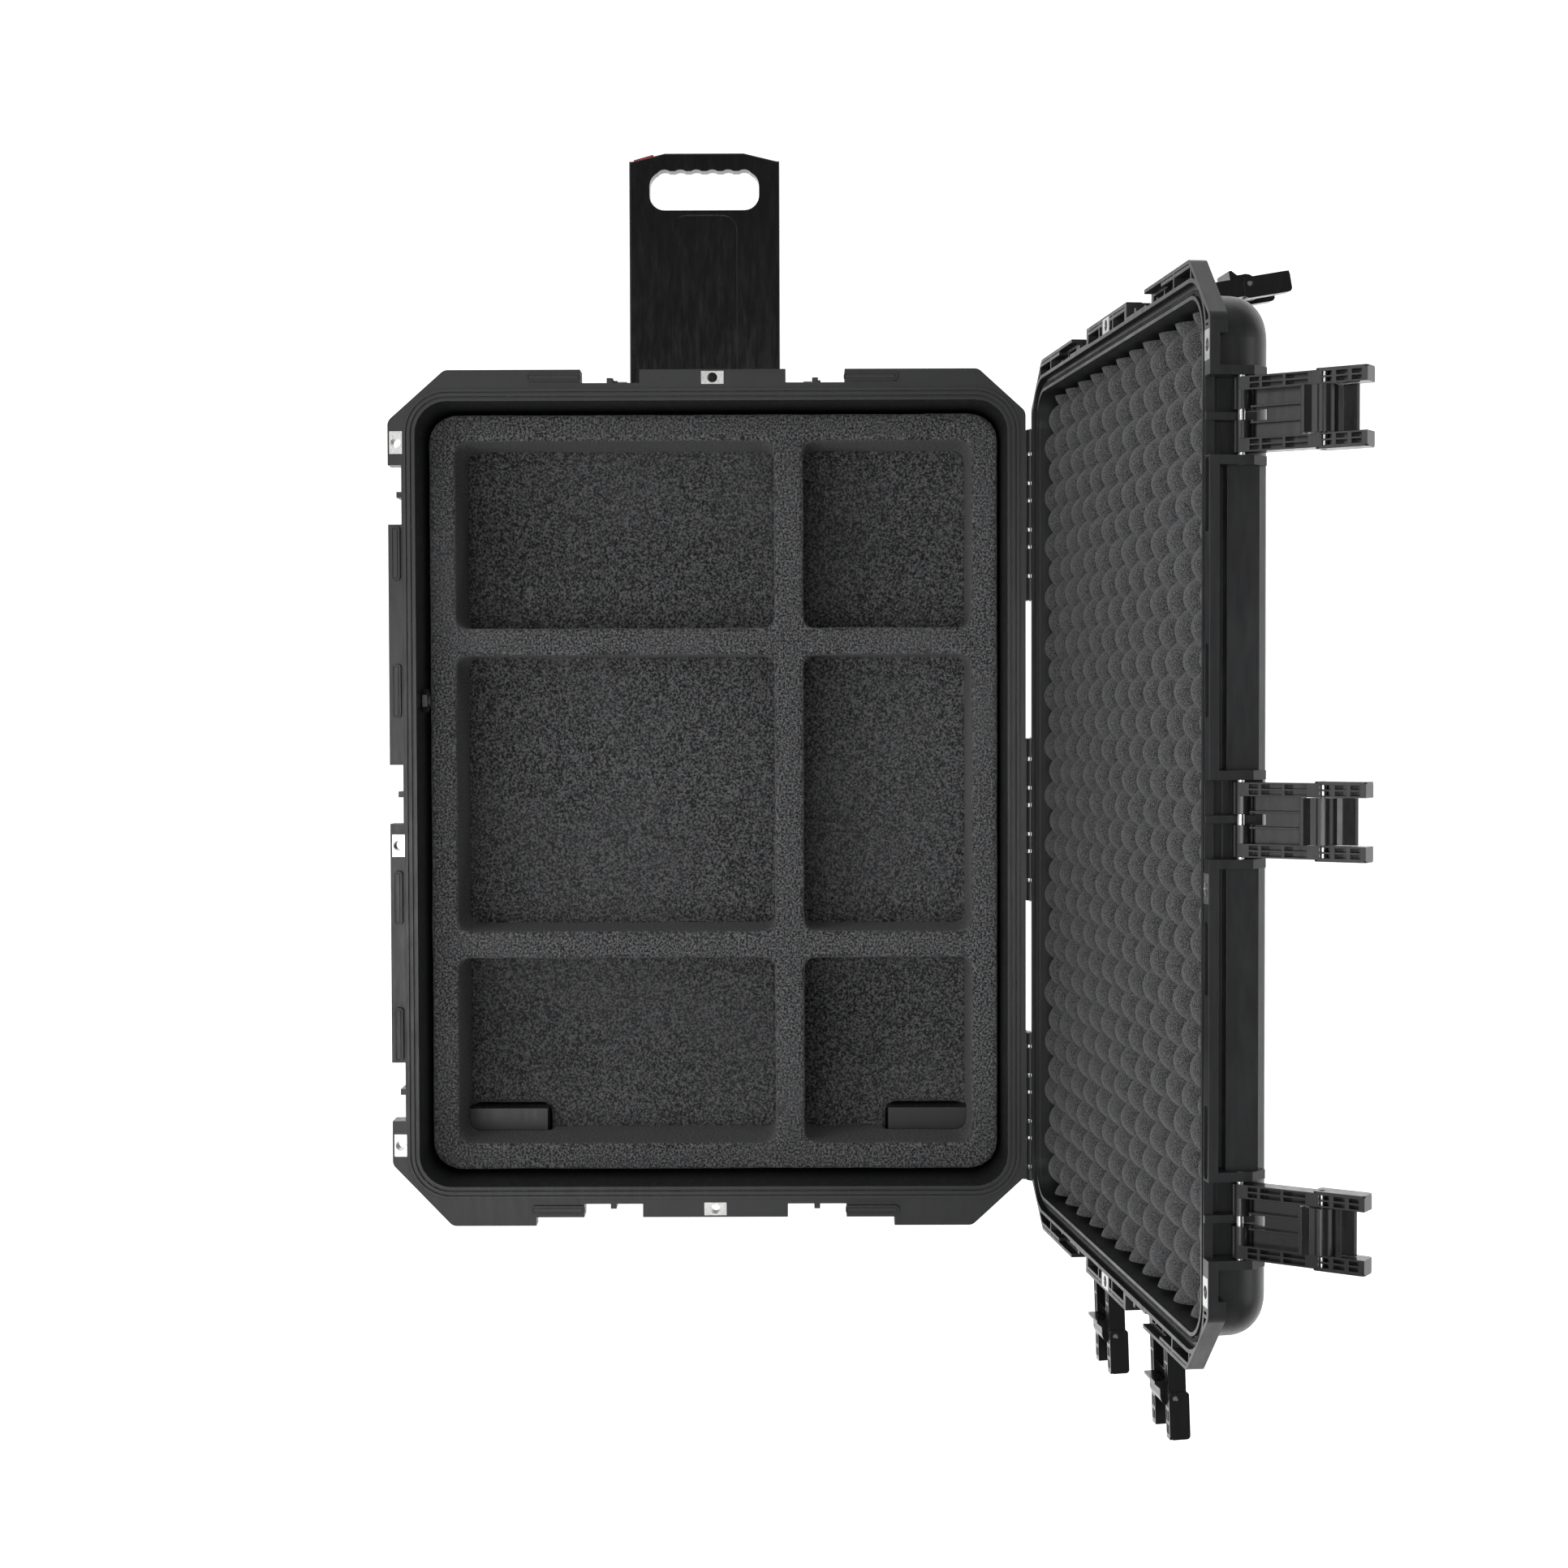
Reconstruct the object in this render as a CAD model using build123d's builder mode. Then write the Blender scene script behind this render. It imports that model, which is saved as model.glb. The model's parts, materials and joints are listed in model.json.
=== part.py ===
"""Wheeled hard equipment case lying on its back, lid open, pull handle out.

Frame: origin at the centre of the footprint on the floor, +Z up, X along the case from the
pull-handle end (-X) to the wheel end (+X), Y from the latch side (-Y) to the hinge side (+Y).
Sizes are in millimetres.
"""
from build123d import *
import math
import os

os.makedirs("parts", exist_ok=True)

# ------------------------------------------------------------------ overall sizes
OPENING_LENGTH = 734.0
OPENING_WIDTH = 551.0
OPENING_RADIUS = 30.0
BASE_DEPTH = 203.0
LID_DEPTH = 50.0
WALL = 4.0
DRAFT = 1.5
FOOT_HEIGHT = 6.0
TUB_EDGE_RADIUS = 16.0
LID_EDGE_RADIUS = 26.0

# flange round both shells, outside the opening
FLANGE_FRONT = 25.5         # opening edge to flange edge, latch side
FLANGE_HINGE = 17.0         # the same, hinge side
FLANGE_END = 29.0           # the same, both ends
FLANGE_RADIUS = 9.0
FLANGE_THICKNESS = 5.0
SKIRT_DEPTH = 18.0
SKIRT_WALL = 3.0
CELL_RIB = 2.6
CELL_PITCH = 46.0
LID_FLANGE_HEIGHT = 13.0
LID_FLANGE_TOP = 3.0
LID_GAP = 0.5
BUMPER_REACH = 8.0
BUMPER_INNER_Y = 168.0

# corner cuts of the flange: extent along X, extent along Y
CUT_FRONT_HANDLE = (47.0, 53.0)
CUT_FRONT_WHEEL = (50.0, 56.0)
CUT_HINGE_HANDLE = (40.0, 44.0)
CUT_HINGE_WHEEL = (38.0, 50.0)

# sealing rim: three ridges round the opening
RIDGE_WIDTH = 3.1
RIDGE_GAP = 1.15
RIDGE_HEIGHTS = (1.5, 3.0, 2.4)
SEAL_HEIGHT = 1.6
SEAL_CLEARANCE = 0.4
RIM_CLEARANCE = 0.6

# hinge
HINGE_OUT = 5.5             # axis beyond the flange edge
HINGE_RISE = 2.1            # axis above the flange top
KNUCKLE_RADIUS = 5.0
HINGE_PIN_RADIUS = 2.0
PIN_CLEARANCE = 0.06
HINGE_RELIEF = 0.7
LID_KNUCKLE = 23.5
BASE_KNUCKLE = 12.5
KNUCKLE_GAP = 3.5
HINGE_GROUPS = ((-259.5, 158.0), (23.5, 151.0), (292.0, 138.0))
LID_OPEN_ANGLE = 96.3

# latches
LATCH_WIDTH = 52.0
LATCH_LENGTH = 92.0
LATCH_ARM = 9.6
LATCH_INSET = 4.0           # pivot inside the flange edge
LATCH_PIVOT_RISE = 24.0     # pivot above the mating plane
LATCH_PIN_RADIUS = 2.5
NOTCH_CLEARANCE = 1.5
NOTCH_DEPTH = 12.5
NOTCH_WALL = 5.0
GUIDE_WIDTH = 5.5
GUIDE_REACH = 4.6
FRONT_CENTRE_X = -1.5
FRONT_LATCH_OFFSET = 279.0
END_CENTRE_Y = 1.5
END_LATCH_OFFSET = 95.5
TRIGGER_DROP = 60.0
TRIGGER_RADIUS = 9.0
TRIGGER_PIN_RADIUS = 2.0
TRIGGER_END = 83.0
LEVER_FRONT = 9.0           # pivot to outer face
LEVER_BACK = 5.0            # pivot to inner edge of the arms
LEVER_SKIN = 3.6
LEVER_RIB = 1.4
SKIN_END = 44.0
GUIDE_SLOT = 7.5
GUIDE_SLOT_DEPTH = 16.0
TIP_START = 55.0
TIP_FLARE = 1.2
TIP_BULGE = 2.0
ARM_POCKET = 2.9
ARM_POCKET_OFFSET = 2.1
ARM_POCKET_DEPTH = 8.0
ARM_POCKETS = ((8.0, 15.0), (17.0, 32.0), (34.0, 50.0), (59.0, 67.0), (70.0, 78.0), (81.0, 88.0))
TRIGGER_GAP = 0.4
HOOK_TOP = 48.5             # below the pivot
HOOK_REACH = 13.0           # inward of the pivot
BAY_WALL = 6.5
BAY_HEIGHT = 44.0
BAY_ROOT = 6.0              # the same for the bay walls
BAY_GUIDE_HEIGHT = 36.0
BAY_GUIDE_SETBACK = 5.5
LONG_SIDE_PLAIN = 335.0
FRONT_FLANGE_HEIGHT = 7.5
PANEL_FOOT = 16.0
PANEL_HEAD = 9.0
PANEL_SETBACK = 11.0
PANEL_ROUND = 6.0
PANEL_ROOT = 12.0           # panel's inner edge inside the opening line, before the inside is cut
OPEN_FRONT = 140.0
OPEN_HANDLE_END = 170.0
OPEN_WHEEL_END = 92.0

# alignment bars on the base flange
BAR_LENGTH = 50.0
BAR_WIDTH = 8.0
BAR_INSET = 3.5
BAR_RADIUS = 3.0
BAR_LINE = 1.2
BAR_CLEARANCE = 0.8
BAR_HEIGHT = 5.0
FRONT_BAR_OFFSETS = (-224.5, -96.5, 96.5, 224.5)
END_BAR_OFFSET = 147.0

# padlock plates
PLATE_LENGTH = 21.0
PLATE_WIDTH = 12.0
PLATE_THICKNESS = 1.5
PADLOCK_RADIUS = 4.6
EYELET_RADIUS = 5.8
PADLOCK_INSET = 7.6
FRONT_PADLOCK_X = (-329.0, 46.5, 328.0)

# foam
FOAM_LENGTH = 722.0
FOAM_WIDTH = 542.0
FOAM_RADIUS = 27.0
FOAM_TOP_BELOW_RIM = 55.0
PAD_THICKNESS = 43.0
POCKET_BORDER = 25.0
POCKET_RADIUS = 9.0
POCKET_ROWS = (178.0, 264.0, 178.0)
ROW_DIVIDER = 26.0
POCKET_COLUMNS = (304.0, 160.0)
COLUMN_DIVIDER = 28.0
FOAM_CLEARANCE = 1.5
PAD_MARGIN = 0.4
LID_FOAM_LENGTH = 724.0
LID_FOAM_WIDTH = 546.0
LID_FOAM_RADIUS = 30.0
LID_FOAM_RECESS = 7.0

# wheels
WHEEL_RADIUS = 34.0
WHEEL_WIDTH = 40.0
WHEEL_Y = 208.0
AXLE_INSET = 11.3           # axle inside the opening's wheel end
AXLE_RADIUS = 5.0
HUB_RADIUS = 25.0
BEARING_RADIUS = 11.0
BEARING_WIDTH = 7.0
WELL_CLEARANCE = 3.5
WELL_WIDTH = 72.0
WELL_WALL = 3.0
WHEEL_FLOOR_GAP = 2.0
AXLE_LENGTH = 76.0
HUB_DISH = 3.0
CHEEK_REACH = 31.0
RUNNER_Y = 150.0
RUNNER_WIDTH = 12.0
RUNNER_LENGTH = 560.0
FOOT_X = 320.0
FOOT_Y = 235.0

# pull handle in its channel
HANDLE_WIDTH = 151.0
HANDLE_THICKNESS = 16.0
HANDLE_LENGTH = 372.0
HANDLE_Y = -12.0
HANDLE_TRAVEL = 243.0
HANDLE_CLEARANCE = 0.6
HANDLE_FLOOR_GAP = 4.4
CHANNEL_WALL = 10.5
CHANNEL_ROOF = 4.0
CHANNEL_COVER = 3.0
COVER_GROUND_GAP = 1.0
GRIP_LENGTH = 110.0
GRIP_WIDTH = 39.0
GRIP_INSET = 18.0
GRIP_RADIUS = 15.0
SCALLOP_PITCH = 16.0
SCALLOP_COUNT = 6
SCALLOP_RADIUS = 9.0
SCALLOP_DEPTH = 1.6
HANDLE_EDGE_RADIUS = 1.5
SHOULDER_DROP = 8.0
SHOULDER_RUN = 36.0
PANEL_WIDTH = 65.0
PANEL_START = 62.0
PANEL_DEPTH = 1.6
BUTTON_LENGTH = 20.0
BUTTON_TRAVEL = 4.0
BUTTON_OFFSET = 61.0
BUTTON_SLOT = 14.0
BUTTON_GAP = 0.4
BUTTON_MARGIN = 2.5
BUTTON_CROWN = 0.6
BUTTON_LEAN = 5.5
ROD_RADIUS = 2.5
BOLT_SIZE = 12.0
BOLT_INSET = 25.0
BOLT_LENGTH = 16.0
BOLT_REACH = 2.6
BOLT_POCKET = 21.0
BOLT_GROOVE = 2.6
ROD_SHIFT = 4.5
SCREW_RADIUS = 2.0
SCREW_HEAD_RADIUS = 4.0
SCREW_HEAD = 2.2
SCREW_TOP = 16.0

# carry handles
CARRY_SPAN = 203.0
CARRY_PIVOT_DROP = 84.0     # below the mating plane
CARRY_ARM_LENGTH = 56.0
CARRY_ARM = 8.0
CARRY_LUG = 8.0
CARRY_GRIP_RADIUS = 11.5
CARRY_CORE_RADIUS = 7.0
CARRY_GRIP_LENGTH = 124.0
CARRY_PIN_RADIUS = 3.0
CARRY_FRONT_OFFSET = 139.5
CARRY_STANDOFF_FRONT = 12.5
CARRY_STANDOFF_END = 20.0
CARRY_GAP = 0.5
CARRY_LUG_RADIUS = 7.0

# pressure valve
VALVE_X = -89.0
VALVE_DROP = 34.0
VALVE_RADIUS = 13.0
VALVE_STEM_RADIUS = 6.0
VALVE_CLEARANCE = 0.1
VALVE_GASKET = 1.2
VALVE_CAP = 4.5
VALVE_NUT = 5.0

# ------------------------------------------------------------------ worked-out places
HALF_LENGTH = OPENING_LENGTH / 2
HALF_WIDTH = OPENING_WIDTH / 2
FLANGE_X = HALF_LENGTH + FLANGE_END
FRONT_Y = HALF_WIDTH + FLANGE_FRONT
REAR_Y = HALF_WIDTH + FLANGE_HINGE
FLOOR_Z = FOOT_HEIGHT + WALL
RIM_Z = FLOOR_Z + BASE_DEPTH
HINGE_Y = REAR_Y + HINGE_OUT
HINGE_Z = RIM_Z + HINGE_RISE
LID_HEIGHT = LID_DEPTH + WALL
RIM_WIDTH = 3 * RIDGE_WIDTH + 2 * RIDGE_GAP
NOTCH_WIDTH = LATCH_WIDTH + 2 * NOTCH_CLEARANCE
FRONT_LATCH_X = [FRONT_CENTRE_X + i * FRONT_LATCH_OFFSET for i in (-1, 0, 1)]
FRONT_BAR_X = [FRONT_CENTRE_X + offset_x for offset_x in FRONT_BAR_OFFSETS]
END_LATCH_Y = (END_CENTRE_Y - END_LATCH_OFFSET, END_CENTRE_Y + END_LATCH_OFFSET)
END_BAR_Y = (END_CENTRE_Y - END_BAR_OFFSET, END_CENTRE_Y + END_BAR_OFFSET)

# the lid's own frame: closed-case coordinates with z measured from the mating plane,
# carried round the hinge to the open position
OPEN_SWING = (
    Location((0, HINGE_Y, HINGE_Z))
    * Location((0, 0, 0), (-LID_OPEN_ANGLE, 0, 0))
    * Location((0, -HINGE_Y, -HINGE_Z))
)
LID = Plane(OPEN_SWING * Location((0, 0, RIM_Z)))
LID_UP = Axis(LID.origin, LID.z_dir)


def wall_inset(drop):
    """How far the drafted tub wall has come in at a depth below the rim."""
    return drop * math.tan(math.radians(DRAFT))


def flange_outline(grow=0.0, wheel_end=0.0):
    """Flange outline with its four corner cuts, grown by an even amount, longer at the wheel end."""
    near, far = FLANGE_X, FLANGE_X + wheel_end
    corners = [
        (-near + CUT_FRONT_HANDLE[0], -FRONT_Y),
        (FLANGE_X - CUT_FRONT_WHEEL[0], -FRONT_Y),
        (far, -FRONT_Y + CUT_FRONT_WHEEL[1]),
        (far, REAR_Y - CUT_HINGE_WHEEL[1]),
        (FLANGE_X - CUT_HINGE_WHEEL[0], REAR_Y),
        (-near + CUT_HINGE_HANDLE[0], REAR_Y),
        (-near, REAR_Y - CUT_HINGE_HANDLE[1]),
        (-near, -FRONT_Y + CUT_FRONT_HANDLE[1]),
    ]
    with BuildSketch() as outline:
        with BuildLine():
            Polyline(*corners, close=True)
        make_face()
        fillet(outline.vertices(), FLANGE_RADIUS)
        if grow:
            offset(amount=grow, mode=Mode.REPLACE)
    return outline.sketch


def opening_outline(grow=0.0):
    """The rounded opening, grown by an even amount."""
    with BuildSketch() as outline:
        RectangleRounded(OPENING_LENGTH + 2 * grow, OPENING_WIDTH + 2 * grow, OPENING_RADIUS + grow)
    return outline.sketch


def ring(inner, outer):
    """A ring round the opening between two offsets from its edge."""
    with BuildSketch() as band:
        add(opening_outline(outer))
        add(opening_outline(inner), mode=Mode.SUBTRACT)
    return band.sketch


def latch_seats(width, reach):
    """Rectangles over the seven latch places, reaching in from the flange edge."""
    with BuildSketch() as seats:
        with Locations(*[(x, -FRONT_Y) for x in FRONT_LATCH_X]):
            Rectangle(width, 2 * reach)
        with Locations(*[(side * FLANGE_X, y) for side in (-1, 1) for y in END_LATCH_Y]):
            Rectangle(2 * reach, width)
    return seats.sketch


def alignment_bars(grow):
    """The raised bars of the base flange, or with a margin the slots that take them."""
    with BuildSketch() as bars:
        with Locations(*[(x, -FRONT_Y + BAR_INSET + BAR_WIDTH / 2) for x in FRONT_BAR_X]):
            RectangleRounded(BAR_LENGTH + 2 * grow, BAR_WIDTH + 2 * grow, BAR_RADIUS + grow)
        inset_x = FLANGE_X - BAR_INSET - BAR_WIDTH / 2
        with Locations(*[(side * inset_x, y) for side in (-1, 1) for y in END_BAR_Y]):
            RectangleRounded(BAR_WIDTH + 2 * grow, BAR_LENGTH + 2 * grow, BAR_RADIUS + grow)
    return bars.sketch


def flange_cells(inner, wheel_end=0.0):
    """Open cells of the flange: the area outside an offset of the opening, less ribs and seats."""
    count_x = int(FLANGE_X // CELL_PITCH)
    count_y = int(FRONT_Y // CELL_PITCH)
    rib_x = [(i + 0.5) * CELL_PITCH for i in range(-count_x - 1, count_x + 1)]
    rib_y = [END_CENTRE_Y + (i + 0.5) * CELL_PITCH for i in range(-count_y - 1, count_y + 1)]
    with BuildSketch() as cells:
        add(flange_outline(-SKIRT_WALL, wheel_end))
        add(opening_outline(inner), mode=Mode.SUBTRACT)
        with Locations(*[(x, 0) for x in rib_x]):
            Rectangle(CELL_RIB, 3 * FRONT_Y, mode=Mode.SUBTRACT)
        with Locations(*[(0, y) for y in rib_y]):
            Rectangle(3 * FLANGE_X, CELL_RIB, mode=Mode.SUBTRACT)
        add(latch_seats(NOTCH_WIDTH + 2 * NOTCH_WALL, 3 * NOTCH_DEPTH), mode=Mode.SUBTRACT)
        with Locations(*PADLOCK_POINTS):
            Circle(PLATE_LENGTH / 2 + 3, mode=Mode.SUBTRACT)
    return cells.sketch


def hinge_knuckles(group, on_base):
    """Centre and length of each knuckle of one hinge group, the base's or the lid's."""
    centre, length = group
    pitch = LID_KNUCKLE + BASE_KNUCKLE + 2 * KNUCKLE_GAP
    if not on_base:
        return [(centre + i * pitch, LID_KNUCKLE) for i in (-1, 0, 1)]
    inner = [(centre + i * pitch / 2, BASE_KNUCKLE) for i in (-1, 1)]
    end_start = pitch + LID_KNUCKLE / 2 + KNUCKLE_GAP
    end_length = length / 2 - end_start
    outer = [(centre + side * (end_start + end_length / 2), end_length) for side in (-1, 1)]
    return inner + outer


def side_plane(frame, along):
    """Plane across a frame: its x runs along the frame's y, its y along the frame's z."""
    origin = frame.from_local_coords(Vector(along, 0, 0))
    return Plane(origin=origin, x_dir=frame.y_dir, z_dir=frame.x_dir)


def save(piece, name):
    """Label one finished piece and write its file."""
    piece.part.label = name
    export_step(piece.part, f"parts/{name}.step")


# ------------------------------------------------------------------ places that pieces share
PADLOCK_POINTS = [(x, -FRONT_Y + PADLOCK_INSET) for x in FRONT_PADLOCK_X]
PADLOCK_POINTS += [(side * (FLANGE_X - PADLOCK_INSET), END_CENTRE_Y) for side in (-1, 1)]
PADLOCK_TURNS = [0, 0, 0, 90, 90]
PADLOCK_SPOTS = [Location((x, y), turn) for (x, y), turn in zip(PADLOCK_POINTS, PADLOCK_TURNS)]
WHEEL_X = HALF_LENGTH - AXLE_INSET
WHEEL_Z = WHEEL_RADIUS + WHEEL_FLOOR_GAP
WELL_RADIUS = WHEEL_RADIUS + WELL_CLEARANCE
WELL_X = WHEEL_X - WELL_RADIUS
WELL_TOP = WHEEL_Z + WELL_RADIUS
CHEEK_START = HALF_LENGTH - wall_inset(BASE_DEPTH) + WALL / 4
CHANNEL_HALF = HANDLE_WIDTH / 2 + HANDLE_CLEARANCE
CHANNEL_TOP = HANDLE_FLOOR_GAP + HANDLE_THICKNESS + HANDLE_CLEARANCE
HUMP_TOP = CHANNEL_TOP + CHANNEL_ROOF
HUMP_HALF = CHANNEL_HALF + CHANNEL_WALL
HANDLE_TIP = -FLANGE_X - HANDLE_TRAVEL
HANDLE_REAR_HOME = -FLANGE_X + HANDLE_LENGTH
CHANNEL_END = HANDLE_REAR_HOME + 4
SCREW_SPOTS = [
    (HANDLE_REAR_HOME - i * 105.0, HANDLE_Y + side * (CHANNEL_HALF + CHANNEL_WALL / 2))
    for i in range(4) for side in (-1, 1)
]
COVER_START = -HALF_LENGTH + TUB_EDGE_RADIUS
CARRY_Z = RIM_Z - CARRY_PIVOT_DROP
CARRY_WALL_INSET = WALL - wall_inset(CARRY_PIVOT_DROP)
CARRY_PLACES = {
    "front_left": (FRONT_CENTRE_X - CARRY_FRONT_OFFSET, -HALF_WIDTH, 0, CARRY_STANDOFF_FRONT),
    "front_right": (FRONT_CENTRE_X + CARRY_FRONT_OFFSET, -HALF_WIDTH, 0, CARRY_STANDOFF_FRONT),
    "handle_end": (-HALF_LENGTH, END_CENTRE_Y, -90, CARRY_STANDOFF_END),
}
CARRY_FRAMES = []
for place_x, place_y, turn, standoff in CARRY_PLACES.values():
    out = CARRY_WALL_INSET + standoff
    shift = (0, -out) if turn == 0 else (-out, 0)
    spot = Location((place_x + shift[0], place_y + shift[1], CARRY_Z), (0, 0, turn))
    CARRY_FRAMES.append((Plane(spot), standoff))
with BuildSketch() as well_cutouts:
    with Locations(*[(HALF_LENGTH, side * WHEEL_Y) for side in (-1, 1)]):
        Rectangle(
            2 * (HALF_LENGTH - WELL_X + WELL_WALL + FOAM_CLEARANCE),
            WELL_WIDTH + 2 * (WELL_WALL + FOAM_CLEARANCE),
        )
WELL_CUTOUTS = well_cutouts.sketch
ROD_Y = HANDLE_Y - BUTTON_OFFSET - ROD_SHIFT
ROD_Z = HANDLE_FLOOR_GAP + HANDLE_THICKNESS / 2
BOLT_X = HANDLE_TIP + HANDLE_LENGTH - BOLT_INSET
ROD_LENGTH = BOLT_X - BOLT_SIZE / 2 - HANDLE_TIP - BUTTON_SLOT
LATCH_PLACES = {
    "front_left": (FRONT_LATCH_X[0], -FRONT_Y + LATCH_INSET, 0, OPEN_FRONT),
    "front_centre": (FRONT_LATCH_X[1], -FRONT_Y + LATCH_INSET, 0, OPEN_FRONT),
    "front_right": (FRONT_LATCH_X[2], -FRONT_Y + LATCH_INSET, 0, OPEN_FRONT),
    "handle_end_front": (-FLANGE_X + LATCH_INSET, END_LATCH_Y[0], -90, OPEN_HANDLE_END),
    "handle_end_rear": (-FLANGE_X + LATCH_INSET, END_LATCH_Y[1], -90, OPEN_HANDLE_END),
    "wheel_end_front": (FLANGE_X - LATCH_INSET, END_LATCH_Y[0], 90, OPEN_WHEEL_END),
    "wheel_end_rear": (FLANGE_X - LATCH_INSET, END_LATCH_Y[1], 90, OPEN_WHEEL_END),
}
# each bay's frame has its origin under the pivot on the mating plane, y inward, z up the lid
BAY_FRAMES = []
LATCH_FRAMES = {}
for name, (place_x, place_y, turn, opened) in LATCH_PLACES.items():
    bay = LID.location * Location((place_x, place_y, 0), (0, 0, turn))
    BAY_FRAMES.append(Plane(bay))
    LATCH_FRAMES[name] = Plane(bay * Location((0, 0, LATCH_PIVOT_RISE), (-opened, 0, 0)))
BAY_DEPTH = FLANGE_END - LATCH_INSET + BAY_ROOT
SEAT_DEPTH = HOOK_TOP - LATCH_PIVOT_RISE - 0.5      # underside of the block that the hook catches

# ------------------------------------------------------------------ bodies used by both shells
def knuckle_row(plane, height, on_base, radius, margin):
    """Every knuckle of the base or the lid, with its web, as barrels along X."""
    web = -1 if on_base else 1
    with BuildPart() as row:
        for group in HINGE_GROUPS:
            for along, length in hinge_knuckles(group, on_base):
                with BuildSketch(side_plane(plane, along - length / 2 - margin)):
                    with Locations((HINGE_Y, height)):
                        Circle(radius)
                    if not margin:
                        web_middle = height - HINGE_RISE + web * (radius + LID_GAP)
                        with Locations((HINGE_Y - radius + 1, web_middle)):
                            Rectangle(2 * radius - 2, 2 * radius)
                extrude(amount=length + 2 * margin)
    return row.part


BASE_KNUCKLES = knuckle_row(Plane.XY, HINGE_Z, True, KNUCKLE_RADIUS, 0)
LID_KNUCKLES = knuckle_row(LID, HINGE_RISE, False, KNUCKLE_RADIUS, 0)
LID_KNUCKLE_ROOM = knuckle_row(Plane.XY, HINGE_Z, False, KNUCKLE_RADIUS + HINGE_RELIEF, HINGE_RELIEF)
BASE_KNUCKLE_ROOM = knuckle_row(LID, HINGE_RISE, True, KNUCKLE_RADIUS + HINGE_RELIEF, HINGE_RELIEF)

with BuildPart() as carry_lugs:
    for frame, standoff in CARRY_FRAMES:
        lug_depth = standoff + WALL / 2 + CARRY_LUG_RADIUS
        with BuildSketch(frame.offset(-CARRY_LUG_RADIUS)):
            with Locations((0, lug_depth / 2 - CARRY_LUG_RADIUS)):
                with GridLocations(CARRY_SPAN - CARRY_LUG, 0, 2, 1):
                    Rectangle(CARRY_LUG, lug_depth)
        extrude(amount=2 * CARRY_LUG_RADIUS)
        with BuildSketch(side_plane(frame, -CARRY_SPAN / 2)):
            Circle(CARRY_PIN_RADIUS + PIN_CLEARANCE)
        extrude(amount=CARRY_SPAN, mode=Mode.SUBTRACT)
CARRY_LUGS = carry_lugs.part

with BuildPart() as base_cavity:
    with BuildSketch(Plane.XY.offset(RIM_Z)):
        add(opening_outline())
    extrude(amount=-BASE_DEPTH, taper=DRAFT)
    fillet(base_cavity.faces().sort_by(Axis.Z)[0].edges(), TUB_EDGE_RADIUS - WALL)
BASE_CAVITY = base_cavity.part

with BuildPart() as lid_cavity:
    with BuildSketch(LID):
        add(opening_outline())
    extrude(amount=LID_DEPTH, taper=DRAFT)
    fillet(lid_cavity.faces().sort_by(LID_UP)[-1].edges(), LID_EDGE_RADIUS - WALL)
LID_CAVITY = lid_cavity.part

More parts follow.
